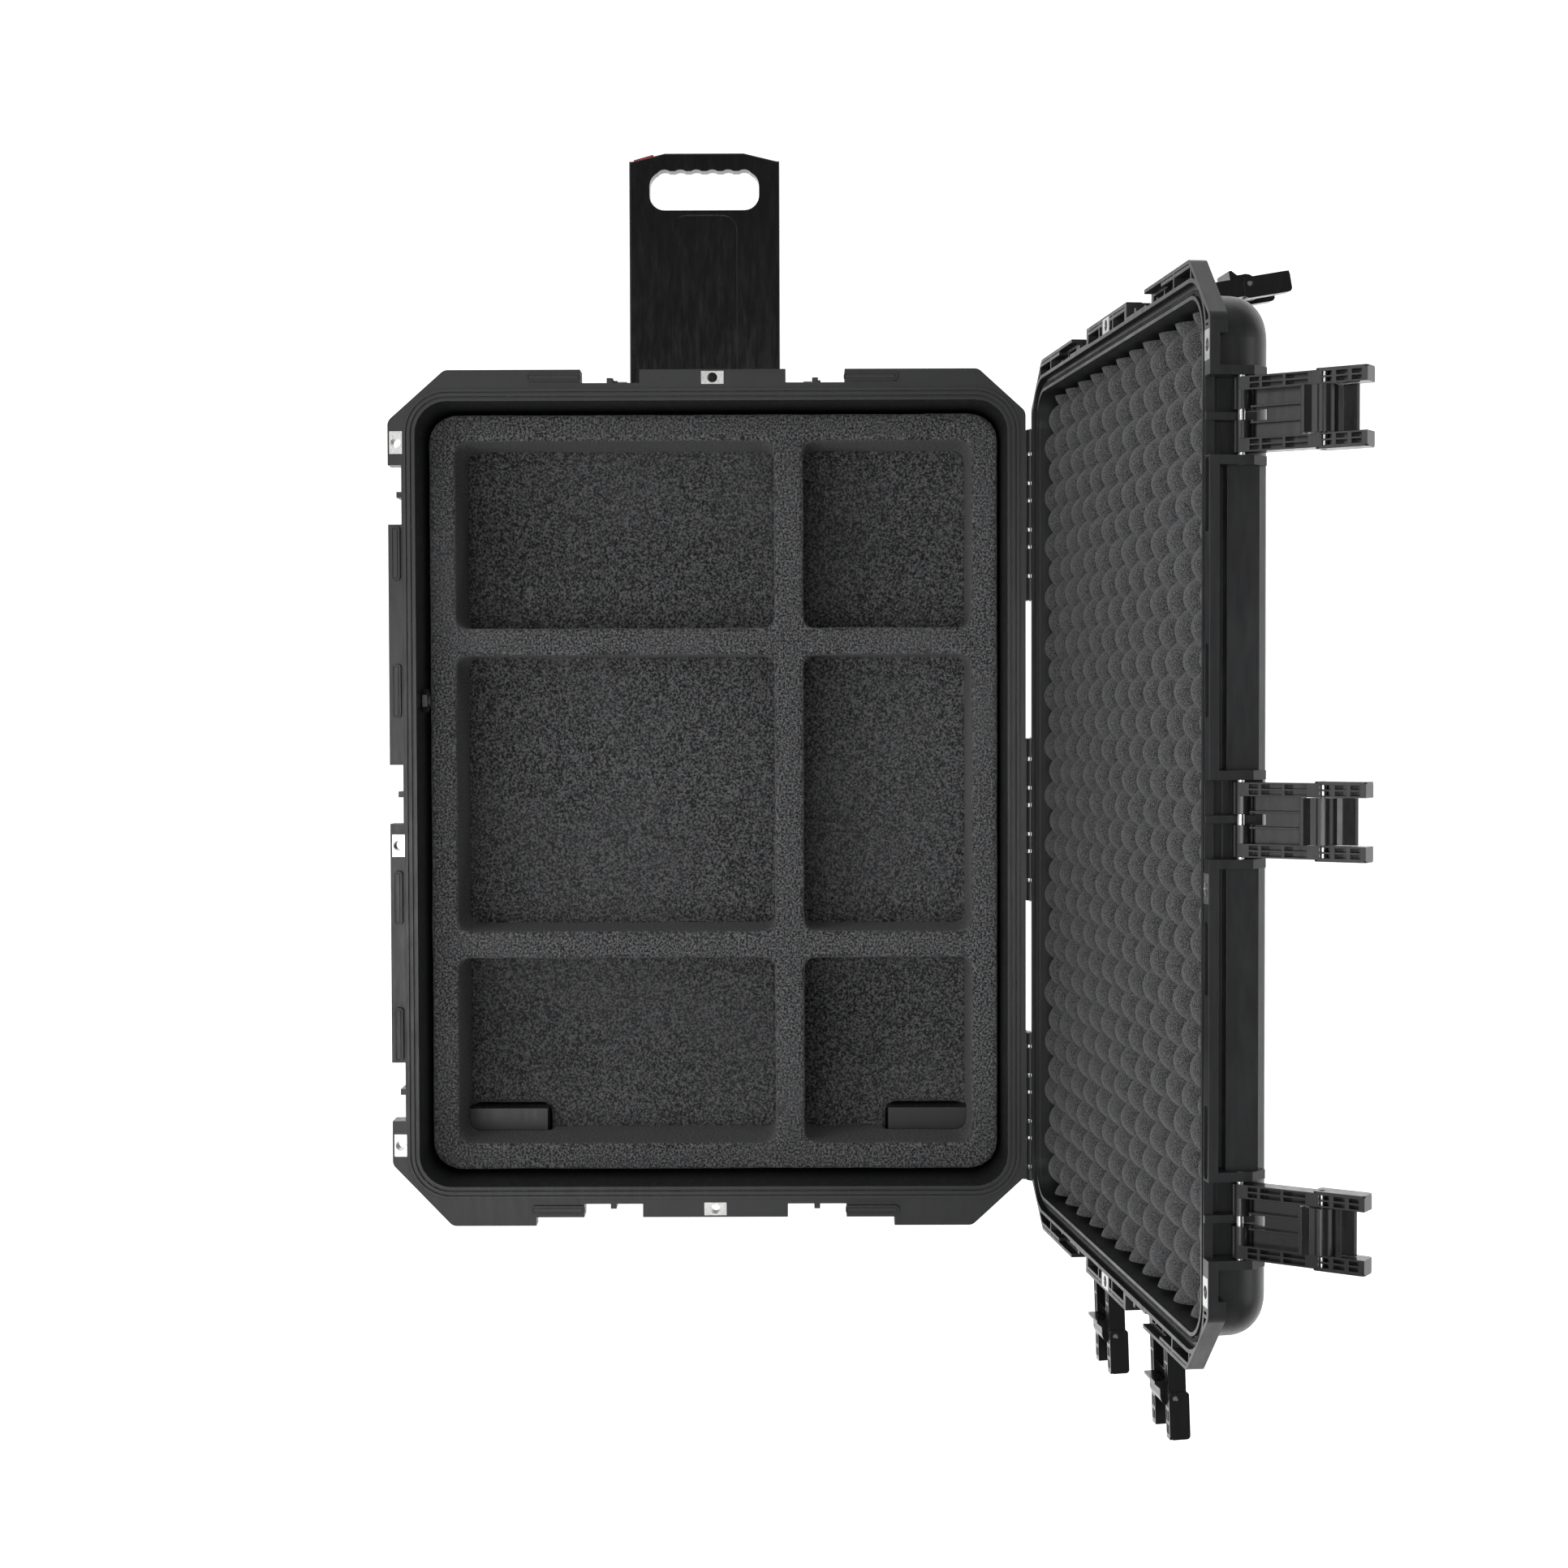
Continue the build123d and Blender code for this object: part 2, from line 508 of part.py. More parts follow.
# ------------------------------------------------------------------ base shell
with BuildPart() as base_shell:
    # tub
    with BuildSketch(Plane.XY.offset(RIM_Z)):
        add(opening_outline(WALL))
    extrude(amount=-(RIM_Z - FOOT_HEIGHT), taper=DRAFT)
    fillet(base_shell.faces().sort_by(Axis.Z)[0].edges(), TUB_EDGE_RADIUS)
    # flange, hollow underneath, with longer corners at the wheel end
    with BuildSketch(Plane.XY.offset(RIM_Z)):
        add(flange_outline(0, BUMPER_REACH))
    extrude(amount=-SKIRT_DEPTH)
    with BuildSketch(Plane.XY.offset(RIM_Z - SKIRT_DEPTH)):
        add(flange_cells(WALL))
    extrude(amount=SKIRT_DEPTH - FLANGE_THICKNESS, mode=Mode.SUBTRACT)
    with BuildSketch(Plane.XY.offset(RIM_Z)):
        with Locations((FLANGE_X + BUMPER_REACH, END_CENTRE_Y)):
            Rectangle(2 * BUMPER_REACH, 2 * BUMPER_INNER_Y)
    extrude(amount=-SKIRT_DEPTH, mode=Mode.SUBTRACT)
    # blocks that the latch hooks catch under
    with BuildSketch(Plane.XY.offset(RIM_Z)):
        add(latch_seats(NOTCH_WIDTH + 2 * NOTCH_WALL, FLANGE_END))
        add(flange_outline(), mode=Mode.INTERSECT)
    extrude(amount=-SEAT_DEPTH)
    # runners and corner feet
    with BuildSketch(Plane.XY):
        with GridLocations(0, 2 * RUNNER_Y, 1, 2):
            RectangleRounded(RUNNER_LENGTH, RUNNER_WIDTH, RUNNER_WIDTH / 2 - 0.5)
        with Locations(*[(x, y) for x in (-FOOT_X, WELL_X - 40) for y in (-FOOT_Y, FOOT_Y)]):
            RectangleRounded(46, 40, 9)
    extrude(amount=FOOT_HEIGHT + WALL / 2)
    # inside
    add(BASE_CAVITY, mode=Mode.SUBTRACT)
    # hump over the handle channel, and the humps over the wheel wells
    with BuildSketch(Plane.XY.offset(FLOOR_Z - WALL / 2)):
        with Locations(((CHANNEL_END + WALL - HALF_LENGTH) / 2, HANDLE_Y)):
            Rectangle(HALF_LENGTH + CHANNEL_END + WALL, 2 * HUMP_HALF)
        with Locations(*[((WELL_X - WELL_WALL + HALF_LENGTH) / 2, s * WHEEL_Y) for s in (-1, 1)]):
            Rectangle(HALF_LENGTH - WELL_X + WELL_WALL, WELL_WIDTH + 2 * WELL_WALL)
        add(opening_outline(-wall_inset(BASE_DEPTH) + 0.5), mode=Mode.INTERSECT)
    extrude(amount=HUMP_TOP - FLOOR_Z + WALL / 2)
    with BuildSketch(Plane.XY.offset(HUMP_TOP)):
        with Locations(*[((WELL_X - WELL_WALL + HALF_LENGTH) / 2, s * WHEEL_Y) for s in (-1, 1)]):
            Rectangle(HALF_LENGTH - WELL_X + WELL_WALL, WELL_WIDTH + 2 * WELL_WALL)
        add(opening_outline(-wall_inset(BASE_DEPTH) + 1.5), mode=Mode.INTERSECT)
    extrude(amount=WELL_TOP + WELL_WALL - HUMP_TOP)
    # cheeks each side of the wheels on the end wall
    for side in (-1, 1):
        for cheek in (-1, 1):
            cheek_y = side * WHEEL_Y + cheek * (WELL_WIDTH / 2 + WELL_WALL)
            with BuildSketch(side_plane(Plane.XY, CHEEK_START)):
                with Locations((cheek_y, (FOOT_HEIGHT + WELL_TOP) / 2)):
                    Rectangle(2 * WELL_WALL, WELL_TOP - FOOT_HEIGHT)
            extrude(amount=WHEEL_X + CHEEK_REACH - CHEEK_START)
    # wells, axle bores and channel
    for side in (-1, 1):
        with BuildSketch(Plane.XZ.offset(-side * WHEEL_Y - WELL_WIDTH / 2)):
            with Locations((WHEEL_X, WHEEL_Z)):
                Circle(WELL_RADIUS)
            with Locations((WHEEL_X, WHEEL_Z - WELL_RADIUS)):
                Rectangle(2 * WELL_RADIUS, 2 * WELL_RADIUS)
            with Locations((WHEEL_X + WELL_RADIUS, WHEEL_Z)):
                Rectangle(2 * WELL_RADIUS, 2 * WELL_RADIUS)
        extrude(amount=WELL_WIDTH, mode=Mode.SUBTRACT)
        with BuildSketch(Plane.XZ.offset(-side * WHEEL_Y - AXLE_LENGTH / 2)):
            with Locations((WHEEL_X, WHEEL_Z)):
                Circle(AXLE_RADIUS + PIN_CLEARANCE)
        extrude(amount=AXLE_LENGTH, mode=Mode.SUBTRACT)
    with BuildSketch(Plane.XY):
        with Locations(((CHANNEL_END - FLANGE_X) / 2, HANDLE_Y)):
            Rectangle(CHANNEL_END + FLANGE_X, 2 * CHANNEL_HALF)
    extrude(amount=CHANNEL_TOP, mode=Mode.SUBTRACT)
    groove_home = BOLT_X + HANDLE_TRAVEL
    with BuildSketch(Plane.XY.offset(ROD_Z - BOLT_SIZE / 2 - BUTTON_GAP)):
        with Locations(((BOLT_X + groove_home) / 2, HANDLE_Y - CHANNEL_HALF)):
            Rectangle(HANDLE_TRAVEL + BOLT_SIZE + 2 * BUTTON_GAP, 2 * BOLT_GROOVE)
    extrude(amount=BOLT_SIZE + 2 * BUTTON_GAP, mode=Mode.SUBTRACT)
    # three sealing ridges and the alignment bars
    for index, height in enumerate(RIDGE_HEIGHTS):
        inner = index * (RIDGE_WIDTH + RIDGE_GAP)
        with BuildSketch(Plane.XY.offset(RIM_Z)):
            add(ring(inner, inner + RIDGE_WIDTH))
        extrude(amount=height)
    with BuildSketch(Plane.XY.offset(RIM_Z)):
        add(alignment_bars(0))
    extrude(amount=BAR_HEIGHT)
    with BuildSketch(Plane.XY.offset(RIM_Z + BAR_HEIGHT)):
        add(alignment_bars(-BAR_LINE))
        add(alignment_bars(-2 * BAR_LINE), mode=Mode.SUBTRACT)
    extrude(amount=-BAR_LINE, mode=Mode.SUBTRACT)
    # latch notches with their centre guides
    with BuildSketch(Plane.XY.offset(RIM_Z)):
        add(latch_seats(NOTCH_WIDTH, NOTCH_DEPTH))
        add(latch_seats(GUIDE_WIDTH, NOTCH_DEPTH), mode=Mode.SUBTRACT)
    extrude(amount=-SEAT_DEPTH, mode=Mode.SUBTRACT)
    with BuildSketch(Plane.XY.offset(RIM_Z)):
        add(latch_seats(GUIDE_WIDTH + 1, NOTCH_DEPTH - GUIDE_REACH))
    extrude(amount=-SEAT_DEPTH, mode=Mode.SUBTRACT)
    # padlock plate beds and holes
    with BuildSketch(Plane.XY.offset(RIM_Z)):
        with Locations(*PADLOCK_SPOTS):
            Rectangle(PLATE_LENGTH, PLATE_WIDTH)
    extrude(amount=-PLATE_THICKNESS, mode=Mode.SUBTRACT)
    with BuildSketch(Plane.XY.offset(RIM_Z)):
        with Locations(*PADLOCK_POINTS):
            Circle(EYELET_RADIUS)
    extrude(amount=-SKIRT_DEPTH, mode=Mode.SUBTRACT)
    # hinge knuckles, with room cut for the lid's
    with BuildSketch(Plane.XY.offset(RIM_Z)):
        for centre, length in HINGE_GROUPS:
            with Locations((centre, REAR_Y)):
                Rectangle(length, 5.0)
    extrude(amount=-SKIRT_DEPTH)
    add(BASE_KNUCKLES)
    add(LID_KNUCKLE_ROOM, mode=Mode.SUBTRACT)
    with BuildSketch(side_plane(Plane.XY, -FLANGE_X)):
        with Locations((HINGE_Y, HINGE_Z)):
            Circle(HINGE_PIN_RADIUS + PIN_CLEARANCE)
    extrude(amount=2 * FLANGE_X, mode=Mode.SUBTRACT)
    # carry-handle lugs and their pin bores
    add(CARRY_LUGS)
    # pressure valve hole
    with BuildSketch(Plane.XZ.offset(HALF_WIDTH - 10)):
        with Locations((VALVE_X, RIM_Z - VALVE_DROP)):
            Circle(VALVE_STEM_RADIUS + VALVE_CLEARANCE)
    extrude(amount=20, mode=Mode.SUBTRACT)
    # screw holes for the channel cover
    with BuildSketch(Plane.XY):
        with Locations(*SCREW_SPOTS):
            Circle(SCREW_RADIUS + PIN_CLEARANCE)
    extrude(amount=SCREW_TOP + 1, mode=Mode.SUBTRACT)
save(base_shell, "base_shell")

# ------------------------------------------------------------------ fittings on the base
with BuildPart() as base_padlock_plates:
    with BuildSketch(Plane.XY.offset(RIM_Z - PLATE_THICKNESS)):
        with Locations(*PADLOCK_SPOTS):
            Rectangle(PLATE_LENGTH, PLATE_WIDTH)
    extrude(amount=PLATE_THICKNESS)
    with BuildSketch(Plane.XY.offset(RIM_Z)):
        with Locations(*PADLOCK_POINTS):
            Circle(EYELET_RADIUS)
    extrude(amount=-SKIRT_DEPTH)
    with BuildSketch(Plane.XY.offset(RIM_Z)):
        with Locations(*PADLOCK_POINTS):
            Circle(PADLOCK_RADIUS)
    extrude(amount=-SKIRT_DEPTH, mode=Mode.SUBTRACT)
save(base_padlock_plates, "base_padlock_plates")

with BuildPart() as foam_floor_pad:
    with BuildSketch(Plane.XY.offset(FLOOR_Z)):
        add(opening_outline(-wall_inset(BASE_DEPTH) - PAD_MARGIN))
    extrude(amount=PAD_THICKNESS)
    fillet(foam_floor_pad.faces().sort_by(Axis.Z)[0].edges(), TUB_EDGE_RADIUS - WALL + 1)
    with BuildSketch(Plane.XY.offset(FLOOR_Z)):
        with Locations(((CHANNEL_END + WALL - FOAM_LENGTH / 2) / 2, HANDLE_Y)):
            Rectangle(FOAM_LENGTH / 2 + CHANNEL_END + WALL + FOAM_CLEARANCE, 2 * HUMP_HALF + 2)
    extrude(amount=HUMP_TOP - FLOOR_Z, mode=Mode.SUBTRACT)
    with BuildSketch(Plane.XY.offset(FLOOR_Z)):
        add(WELL_CUTOUTS)
    extrude(amount=PAD_THICKNESS, mode=Mode.SUBTRACT)
save(foam_floor_pad, "foam_floor_pad")

FOAM_BOTTOM_Z = FLOOR_Z + PAD_THICKNESS
FOAM_TOP_Z = RIM_Z - FOAM_TOP_BELOW_RIM
with BuildPart() as foam_pocket_block:
    with BuildSketch(Plane.XY.offset(FOAM_BOTTOM_Z)):
        RectangleRounded(FOAM_LENGTH, FOAM_WIDTH, FOAM_RADIUS)
        row_start = -FOAM_LENGTH / 2 + POCKET_BORDER
        for row in POCKET_ROWS:
            column_start = -FOAM_WIDTH / 2 + POCKET_BORDER
            for column in POCKET_COLUMNS:
                with Locations((row_start + row / 2, column_start + column / 2)):
                    RectangleRounded(row, column, POCKET_RADIUS, mode=Mode.SUBTRACT)
                column_start += column + COLUMN_DIVIDER
            row_start += row + ROW_DIVIDER
    extrude(amount=FOAM_TOP_Z - FOAM_BOTTOM_Z)
    with BuildSketch(Plane.XY.offset(FOAM_BOTTOM_Z)):
        add(WELL_CUTOUTS)
    extrude(amount=WELL_TOP + WELL_WALL + FOAM_CLEARANCE - FOAM_BOTTOM_Z, mode=Mode.SUBTRACT)
save(foam_pocket_block, "foam_pocket_block")

with BuildPart() as hinge_pins:
    for group in HINGE_GROUPS:
        with BuildSketch(side_plane(Plane.XY, group[0] - group[1] / 2 - 1)):
            with Locations((HINGE_Y, HINGE_Z)):
                Circle(HINGE_PIN_RADIUS)
        extrude(amount=group[1] + 2)
save(hinge_pins, "hinge_pins")

with BuildPart() as handle_channel_cover:
    with BuildSketch(Plane.XY.offset(COVER_GROUND_GAP)):
        with Locations(((CHANNEL_END + COVER_START) / 2, HANDLE_Y)):
            RectangleRounded(CHANNEL_END - COVER_START, 2 * HUMP_HALF, 4)
    extrude(amount=CHANNEL_COVER)
    with BuildSketch(Plane.XY.offset(COVER_GROUND_GAP)):
        with Locations(((CHANNEL_END + COVER_START) / 2, HANDLE_Y)):
            with GridLocations(0, HUMP_HALF + CHANNEL_HALF, 1, 2):
                Rectangle(CHANNEL_END - COVER_START - 8, CHANNEL_WALL)
    extrude(amount=FOOT_HEIGHT - COVER_GROUND_GAP)
    with BuildSketch(Plane.XY.offset(COVER_GROUND_GAP)):
        with Locations(*SCREW_SPOTS):
            Circle(SCREW_RADIUS + PIN_CLEARANCE)
    extrude(amount=FOOT_HEIGHT, mode=Mode.SUBTRACT)
    with BuildSketch(Plane.XY.offset(COVER_GROUND_GAP)):
        with Locations(*SCREW_SPOTS):
            Circle(SCREW_HEAD_RADIUS + PIN_CLEARANCE)
    extrude(amount=SCREW_HEAD, mode=Mode.SUBTRACT)
save(handle_channel_cover, "handle_channel_cover")

with BuildPart() as cover_screws:
    with BuildSketch(Plane.XY.offset(COVER_GROUND_GAP)):
        with Locations(*SCREW_SPOTS):
            Circle(SCREW_HEAD_RADIUS)
    extrude(amount=SCREW_HEAD)
    with BuildSketch(Plane.XY.offset(COVER_GROUND_GAP)):
        with Locations(*SCREW_SPOTS):
            Circle(SCREW_RADIUS)
    extrude(amount=SCREW_TOP - COVER_GROUND_GAP)
    with BuildSketch(Plane.XY.offset(COVER_GROUND_GAP)):
        with Locations(*SCREW_SPOTS):
            RegularPolygon(SCREW_RADIUS * 0.8, 6)
    extrude(amount=SCREW_HEAD / 2, mode=Mode.SUBTRACT)
save(cover_screws, "cover_screws")

# ------------------------------------------------------------------ pressure valve
VALVE_SEAT = HALF_WIDTH + WALL - wall_inset(VALVE_DROP - VALVE_RADIUS) + 0.1
VALVE_INSIDE = HALF_WIDTH - wall_inset(VALVE_DROP + VALVE_RADIUS) - 0.1
VALVE_SPOT = Location((VALVE_X, RIM_Z - VALVE_DROP))
with BuildPart() as valve_gasket:
    with BuildSketch(Plane.XZ.offset(VALVE_SEAT)):
        with Locations(VALVE_SPOT):
            Circle(VALVE_RADIUS - 2)
            Circle(VALVE_STEM_RADIUS + VALVE_CLEARANCE, mode=Mode.SUBTRACT)
    extrude(amount=VALVE_GASKET)
save(valve_gasket, "valve_gasket")

with BuildPart() as valve_body:
    with BuildSketch(Plane.XZ.offset(VALVE_SEAT + VALVE_GASKET)):
        with Locations(VALVE_SPOT):
            Circle(VALVE_RADIUS)
    extrude(amount=VALVE_CAP)
    fillet(valve_body.faces().sort_by(Axis.Y)[0].edges(), 1.5)
    with BuildSketch(Plane.XZ.offset(VALVE_SEAT + VALVE_GASKET + VALVE_CAP)):
        with Locations(VALVE_SPOT):
            with PolarLocations(VALVE_RADIUS, 12):
                Circle(1.3)
    extrude(amount=-VALVE_CAP, mode=Mode.SUBTRACT)
    with BuildSketch(Plane.XZ.offset(VALVE_INSIDE - VALVE_NUT - 2)):
        with Locations(VALVE_SPOT):
            Circle(VALVE_STEM_RADIUS)
    extrude(amount=VALVE_SEAT + VALVE_GASKET + 1 - VALVE_INSIDE + VALVE_NUT + 2)
save(valve_body, "valve_body")

with BuildPart() as valve_nut:
    with BuildSketch(Plane.XZ.offset(VALVE_INSIDE)):
        with Locations(VALVE_SPOT):
            RegularPolygon(VALVE_RADIUS - 2, 6)
            Circle(VALVE_STEM_RADIUS + VALVE_CLEARANCE, mode=Mode.SUBTRACT)
    extrude(amount=-VALVE_NUT)
save(valve_nut, "valve_nut")

# ------------------------------------------------------------------ wheels
with BuildPart() as wheel_axles:
    for side in (-1, 1):
        with BuildSketch(Plane.XZ.offset(-side * WHEEL_Y - AXLE_LENGTH / 2)):
            with Locations((WHEEL_X, WHEEL_Z)):
                Circle(AXLE_RADIUS)
        extrude(amount=AXLE_LENGTH)
save(wheel_axles, "wheel_axles")

for side, name in ((-1, "front"), (1, "rear")):
    outer_face = Plane.XZ.offset(-side * WHEEL_Y - WHEEL_WIDTH / 2)
    with BuildPart() as tyre:
        with BuildSketch(outer_face):
            with Locations((WHEEL_X, WHEEL_Z)):
                Circle(WHEEL_RADIUS)
                Circle(HUB_RADIUS, mode=Mode.SUBTRACT)
        extrude(amount=WHEEL_WIDTH)
        fillet(tyre.edges().filter_by(GeomType.CIRCLE).group_by(SortBy.RADIUS)[-1], 5)
    save(tyre, f"wheel_tyre_{name}")
    with BuildPart() as hub:
        with BuildSketch(outer_face):
            with Locations((WHEEL_X, WHEEL_Z)):
                Circle(HUB_RADIUS)
                Circle(BEARING_RADIUS - 2, mode=Mode.SUBTRACT)
        extrude(amount=WHEEL_WIDTH)
        for face, depth in ((outer_face, 1), (outer_face.offset(WHEEL_WIDTH), -1)):
            with BuildSketch(face):
                with Locations((WHEEL_X, WHEEL_Z)):
                    Circle(HUB_RADIUS - 4)
                    Circle(BEARING_RADIUS + 3, mode=Mode.SUBTRACT)
                    with PolarLocations(0, 5):
                        Rectangle(2 * HUB_RADIUS, 3, align=(Align.MIN, Align.CENTER), mode=Mode.SUBTRACT)
            extrude(amount=depth * HUB_DISH, mode=Mode.SUBTRACT)
            with BuildSketch(face):
                with Locations((WHEEL_X, WHEEL_Z)):
                    Circle(BEARING_RADIUS)
            extrude(amount=depth * BEARING_WIDTH, mode=Mode.SUBTRACT)
    save(hub, f"wheel_hub_{name}")
    with BuildPart() as bearings:
        for start in (0, WHEEL_WIDTH - BEARING_WIDTH):
            with BuildSketch(outer_face.offset(start)):
                with Locations((WHEEL_X, WHEEL_Z)):
                    Circle(BEARING_RADIUS)
                    Circle(AXLE_RADIUS + PIN_CLEARANCE, mode=Mode.SUBTRACT)
            extrude(amount=BEARING_WIDTH)
    save(bearings, f"wheel_bearings_{name}")

# ------------------------------------------------------------------ carry handles
for (name, place), (frame, standoff) in zip(CARRY_PLACES.items(), CARRY_FRAMES):
    arm_spacing = CARRY_SPAN - 2 * CARRY_LUG - 2 * CARRY_GAP - CARRY_ARM
    with BuildPart() as bail:
        for side in (-1, 1):
            with BuildSketch(side_plane(frame, side * arm_spacing / 2 - CARRY_ARM / 2)):
                Circle(CARRY_LUG_RADIUS)
                with Locations((0, -CARRY_ARM_LENGTH / 2)):
                    Rectangle(2 * CARRY_LUG_RADIUS, CARRY_ARM_LENGTH)
                with Locations((0, -CARRY_ARM_LENGTH)):
                    Circle(CARRY_LUG_RADIUS)
                Circle(CARRY_PIN_RADIUS + PIN_CLEARANCE, mode=Mode.SUBTRACT)
            extrude(amount=CARRY_ARM)
        with BuildSketch(side_plane(frame, -arm_spacing / 2)):
            with Locations((0, -CARRY_ARM_LENGTH)):
                Circle(CARRY_CORE_RADIUS)
        extrude(amount=arm_spacing)
    save(bail, f"carry_bail_{name}")
    with BuildPart() as grip:
        with BuildSketch(side_plane(frame, -CARRY_GRIP_LENGTH / 2)):
            with Locations((0, -CARRY_ARM_LENGTH)):
                Circle(CARRY_GRIP_RADIUS)
        extrude(amount=CARRY_GRIP_LENGTH)
        fillet(grip.edges().filter_by(GeomType.CIRCLE), 4)
        with BuildSketch(side_plane(frame, -CARRY_GRIP_LENGTH / 2)):
            with Locations((0, -CARRY_ARM_LENGTH)):
                Circle(CARRY_CORE_RADIUS)
        extrude(amount=CARRY_GRIP_LENGTH, mode=Mode.SUBTRACT)
    save(grip, f"carry_grip_{name}")

with BuildPart() as carry_handle_pins:
    pin_length = CARRY_LUG + CARRY_ARM + CARRY_GAP
    for frame, standoff in CARRY_FRAMES:
        for start in (-CARRY_SPAN / 2, CARRY_SPAN / 2 - pin_length):
            with BuildSketch(side_plane(frame, start)):
                Circle(CARRY_PIN_RADIUS)
            extrude(amount=pin_length)
save(carry_handle_pins, "carry_handle_pins")

# ------------------------------------------------------------------ pull handle, drawn out
HANDLE_TOP = HANDLE_FLOOR_GAP + HANDLE_THICKNESS
GRIP_X = HANDLE_TIP + GRIP_INSET + GRIP_WIDTH / 2
BUTTON_Y = HANDLE_Y - BUTTON_OFFSET
with BuildPart() as pull_handle:
    with BuildSketch(Plane.XY.offset(HANDLE_FLOOR_GAP)):
        half = HANDLE_WIDTH / 2
        rear = HANDLE_TIP + HANDLE_LENGTH
        with BuildLine(Plane.XY.offset(HANDLE_FLOOR_GAP)):
            Polyline(
                (HANDLE_TIP, HANDLE_Y - half + SHOULDER_RUN),
                (HANDLE_TIP + SHOULDER_DROP, HANDLE_Y - half + 3),
                (HANDLE_TIP + SHOULDER_DROP, HANDLE_Y - half),
                (rear, HANDLE_Y - half),
                (rear, HANDLE_Y + half),
                (HANDLE_TIP + SHOULDER_DROP, HANDLE_Y + half),
                (HANDLE_TIP + SHOULDER_DROP, HANDLE_Y + half - 3),
                (HANDLE_TIP, HANDLE_Y + half - SHOULDER_RUN),
                close=True,
            )
        make_face()
    extrude(amount=HANDLE_THICKNESS)
    fillet(pull_handle.edges().group_by(Axis.Z)[-1], HANDLE_EDGE_RADIUS)
    # grip hole with finger scallops on the outer side
    with BuildSketch(Plane.XY):
        with Locations((GRIP_X, HANDLE_Y)):
            RectangleRounded(GRIP_WIDTH, GRIP_LENGTH, GRIP_RADIUS)
        scallop_x = GRIP_X - GRIP_WIDTH / 2 + SCALLOP_RADIUS - SCALLOP_DEPTH
        with Locations((scallop_x, HANDLE_Y)):
            with GridLocations(0, SCALLOP_PITCH, 1, SCALLOP_COUNT):
                Circle(SCALLOP_RADIUS)
    extrude(amount=2 * HANDLE_TOP, mode=Mode.SUBTRACT)
    # sunk panel down the middle of the upper face
    with BuildSketch(Plane.XY.offset(HANDLE_TOP)):
        panel_length = HANDLE_LENGTH - PANEL_START
        with Locations((HANDLE_TIP + PANEL_START + panel_length / 2, HANDLE_Y)):
            RectangleRounded(panel_length, PANEL_WIDTH, GRIP_RADIUS)
        with Locations((HANDLE_TIP + HANDLE_LENGTH, HANDLE_Y)):
            Rectangle(panel_length, PANEL_WIDTH)
    extrude(amount=-PANEL_DEPTH, mode=Mode.SUBTRACT)
    # button slot, rod bore and the pocket of the lock bolt
    with BuildSketch(Plane.XY.offset(HANDLE_FLOOR_GAP + BUTTON_MARGIN)):
        with Locations((HANDLE_TIP, BUTTON_Y)):
            Rectangle(2 * BUTTON_SLOT, BUTTON_LENGTH + 2 * BUTTON_GAP)
    extrude(amount=HANDLE_THICKNESS - 2 * BUTTON_MARGIN, mode=Mode.SUBTRACT)
    with BuildSketch(side_plane(Plane.XY, 0).offset(HANDLE_TIP + BUTTON_SLOT - 1)):
        with Locations((ROD_Y, ROD_Z)):
            Circle(ROD_RADIUS + BUTTON_GAP)
    extrude(amount=ROD_LENGTH + BUTTON_TRAVEL + 4, mode=Mode.SUBTRACT)
    with BuildSketch(Plane.XY.offset(ROD_Z - BOLT_SIZE / 2 - BUTTON_GAP)):
        with Locations((BOLT_X, HANDLE_Y - HANDLE_WIDTH / 2)):
            Rectangle(BOLT_SIZE + 2 * BUTTON_GAP, 2 * BOLT_POCKET)
    extrude(amount=BOLT_SIZE + 2 * BUTTON_GAP, mode=Mode.SUBTRACT)
save(pull_handle, "pull_handle")

with BuildPart() as handle_button:
    with BuildSketch(Plane.XY.offset(HANDLE_FLOOR_GAP + BUTTON_MARGIN + BUTTON_GAP)):
        with BuildLine(Plane.XY.offset(HANDLE_FLOOR_GAP + BUTTON_MARGIN + BUTTON_GAP)):
            Polyline(
                (HANDLE_TIP + BUTTON_SLOT - BUTTON_TRAVEL - 1, BUTTON_Y - BUTTON_LENGTH / 2),
                (HANDLE_TIP + BUTTON_SLOT - BUTTON_TRAVEL - 1, BUTTON_Y + BUTTON_LENGTH / 2),
                (HANDLE_TIP + BUTTON_CROWN, BUTTON_Y + BUTTON_LENGTH / 2),
                (HANDLE_TIP + BUTTON_CROWN + BUTTON_LEAN, BUTTON_Y - BUTTON_LENGTH / 2),
                close=True,
            )
        make_face()
    extrude(amount=HANDLE_THICKNESS - 2 * BUTTON_MARGIN - 2 * BUTTON_GAP)
    fillet(handle_button.edges().group_by(Axis.X)[0], 0.8)
save(handle_button, "handle_button")

with BuildPart() as button_rod:
    with BuildSketch(side_plane(Plane.XY, HANDLE_TIP + BUTTON_SLOT - BUTTON_TRAVEL - 1)):
        with Locations((ROD_Y, ROD_Z)):
            Circle(ROD_RADIUS)
    extrude(amount=ROD_LENGTH)
save(button_rod, "button_rod")

with BuildPart() as lock_bolt:
    with BuildSketch(Plane.XY.offset(ROD_Z - BOLT_SIZE / 2)):
        with Locations((BOLT_X, HANDLE_Y - HANDLE_WIDTH / 2 - BOLT_REACH + BOLT_LENGTH / 2)):
            Rectangle(BOLT_SIZE, BOLT_LENGTH)
    extrude(amount=BOLT_SIZE)
    chamfer(lock_bolt.edges().group_by(Axis.Y)[0].filter_by(Axis.Z), 1.5)
save(lock_bolt, "lock_bolt")

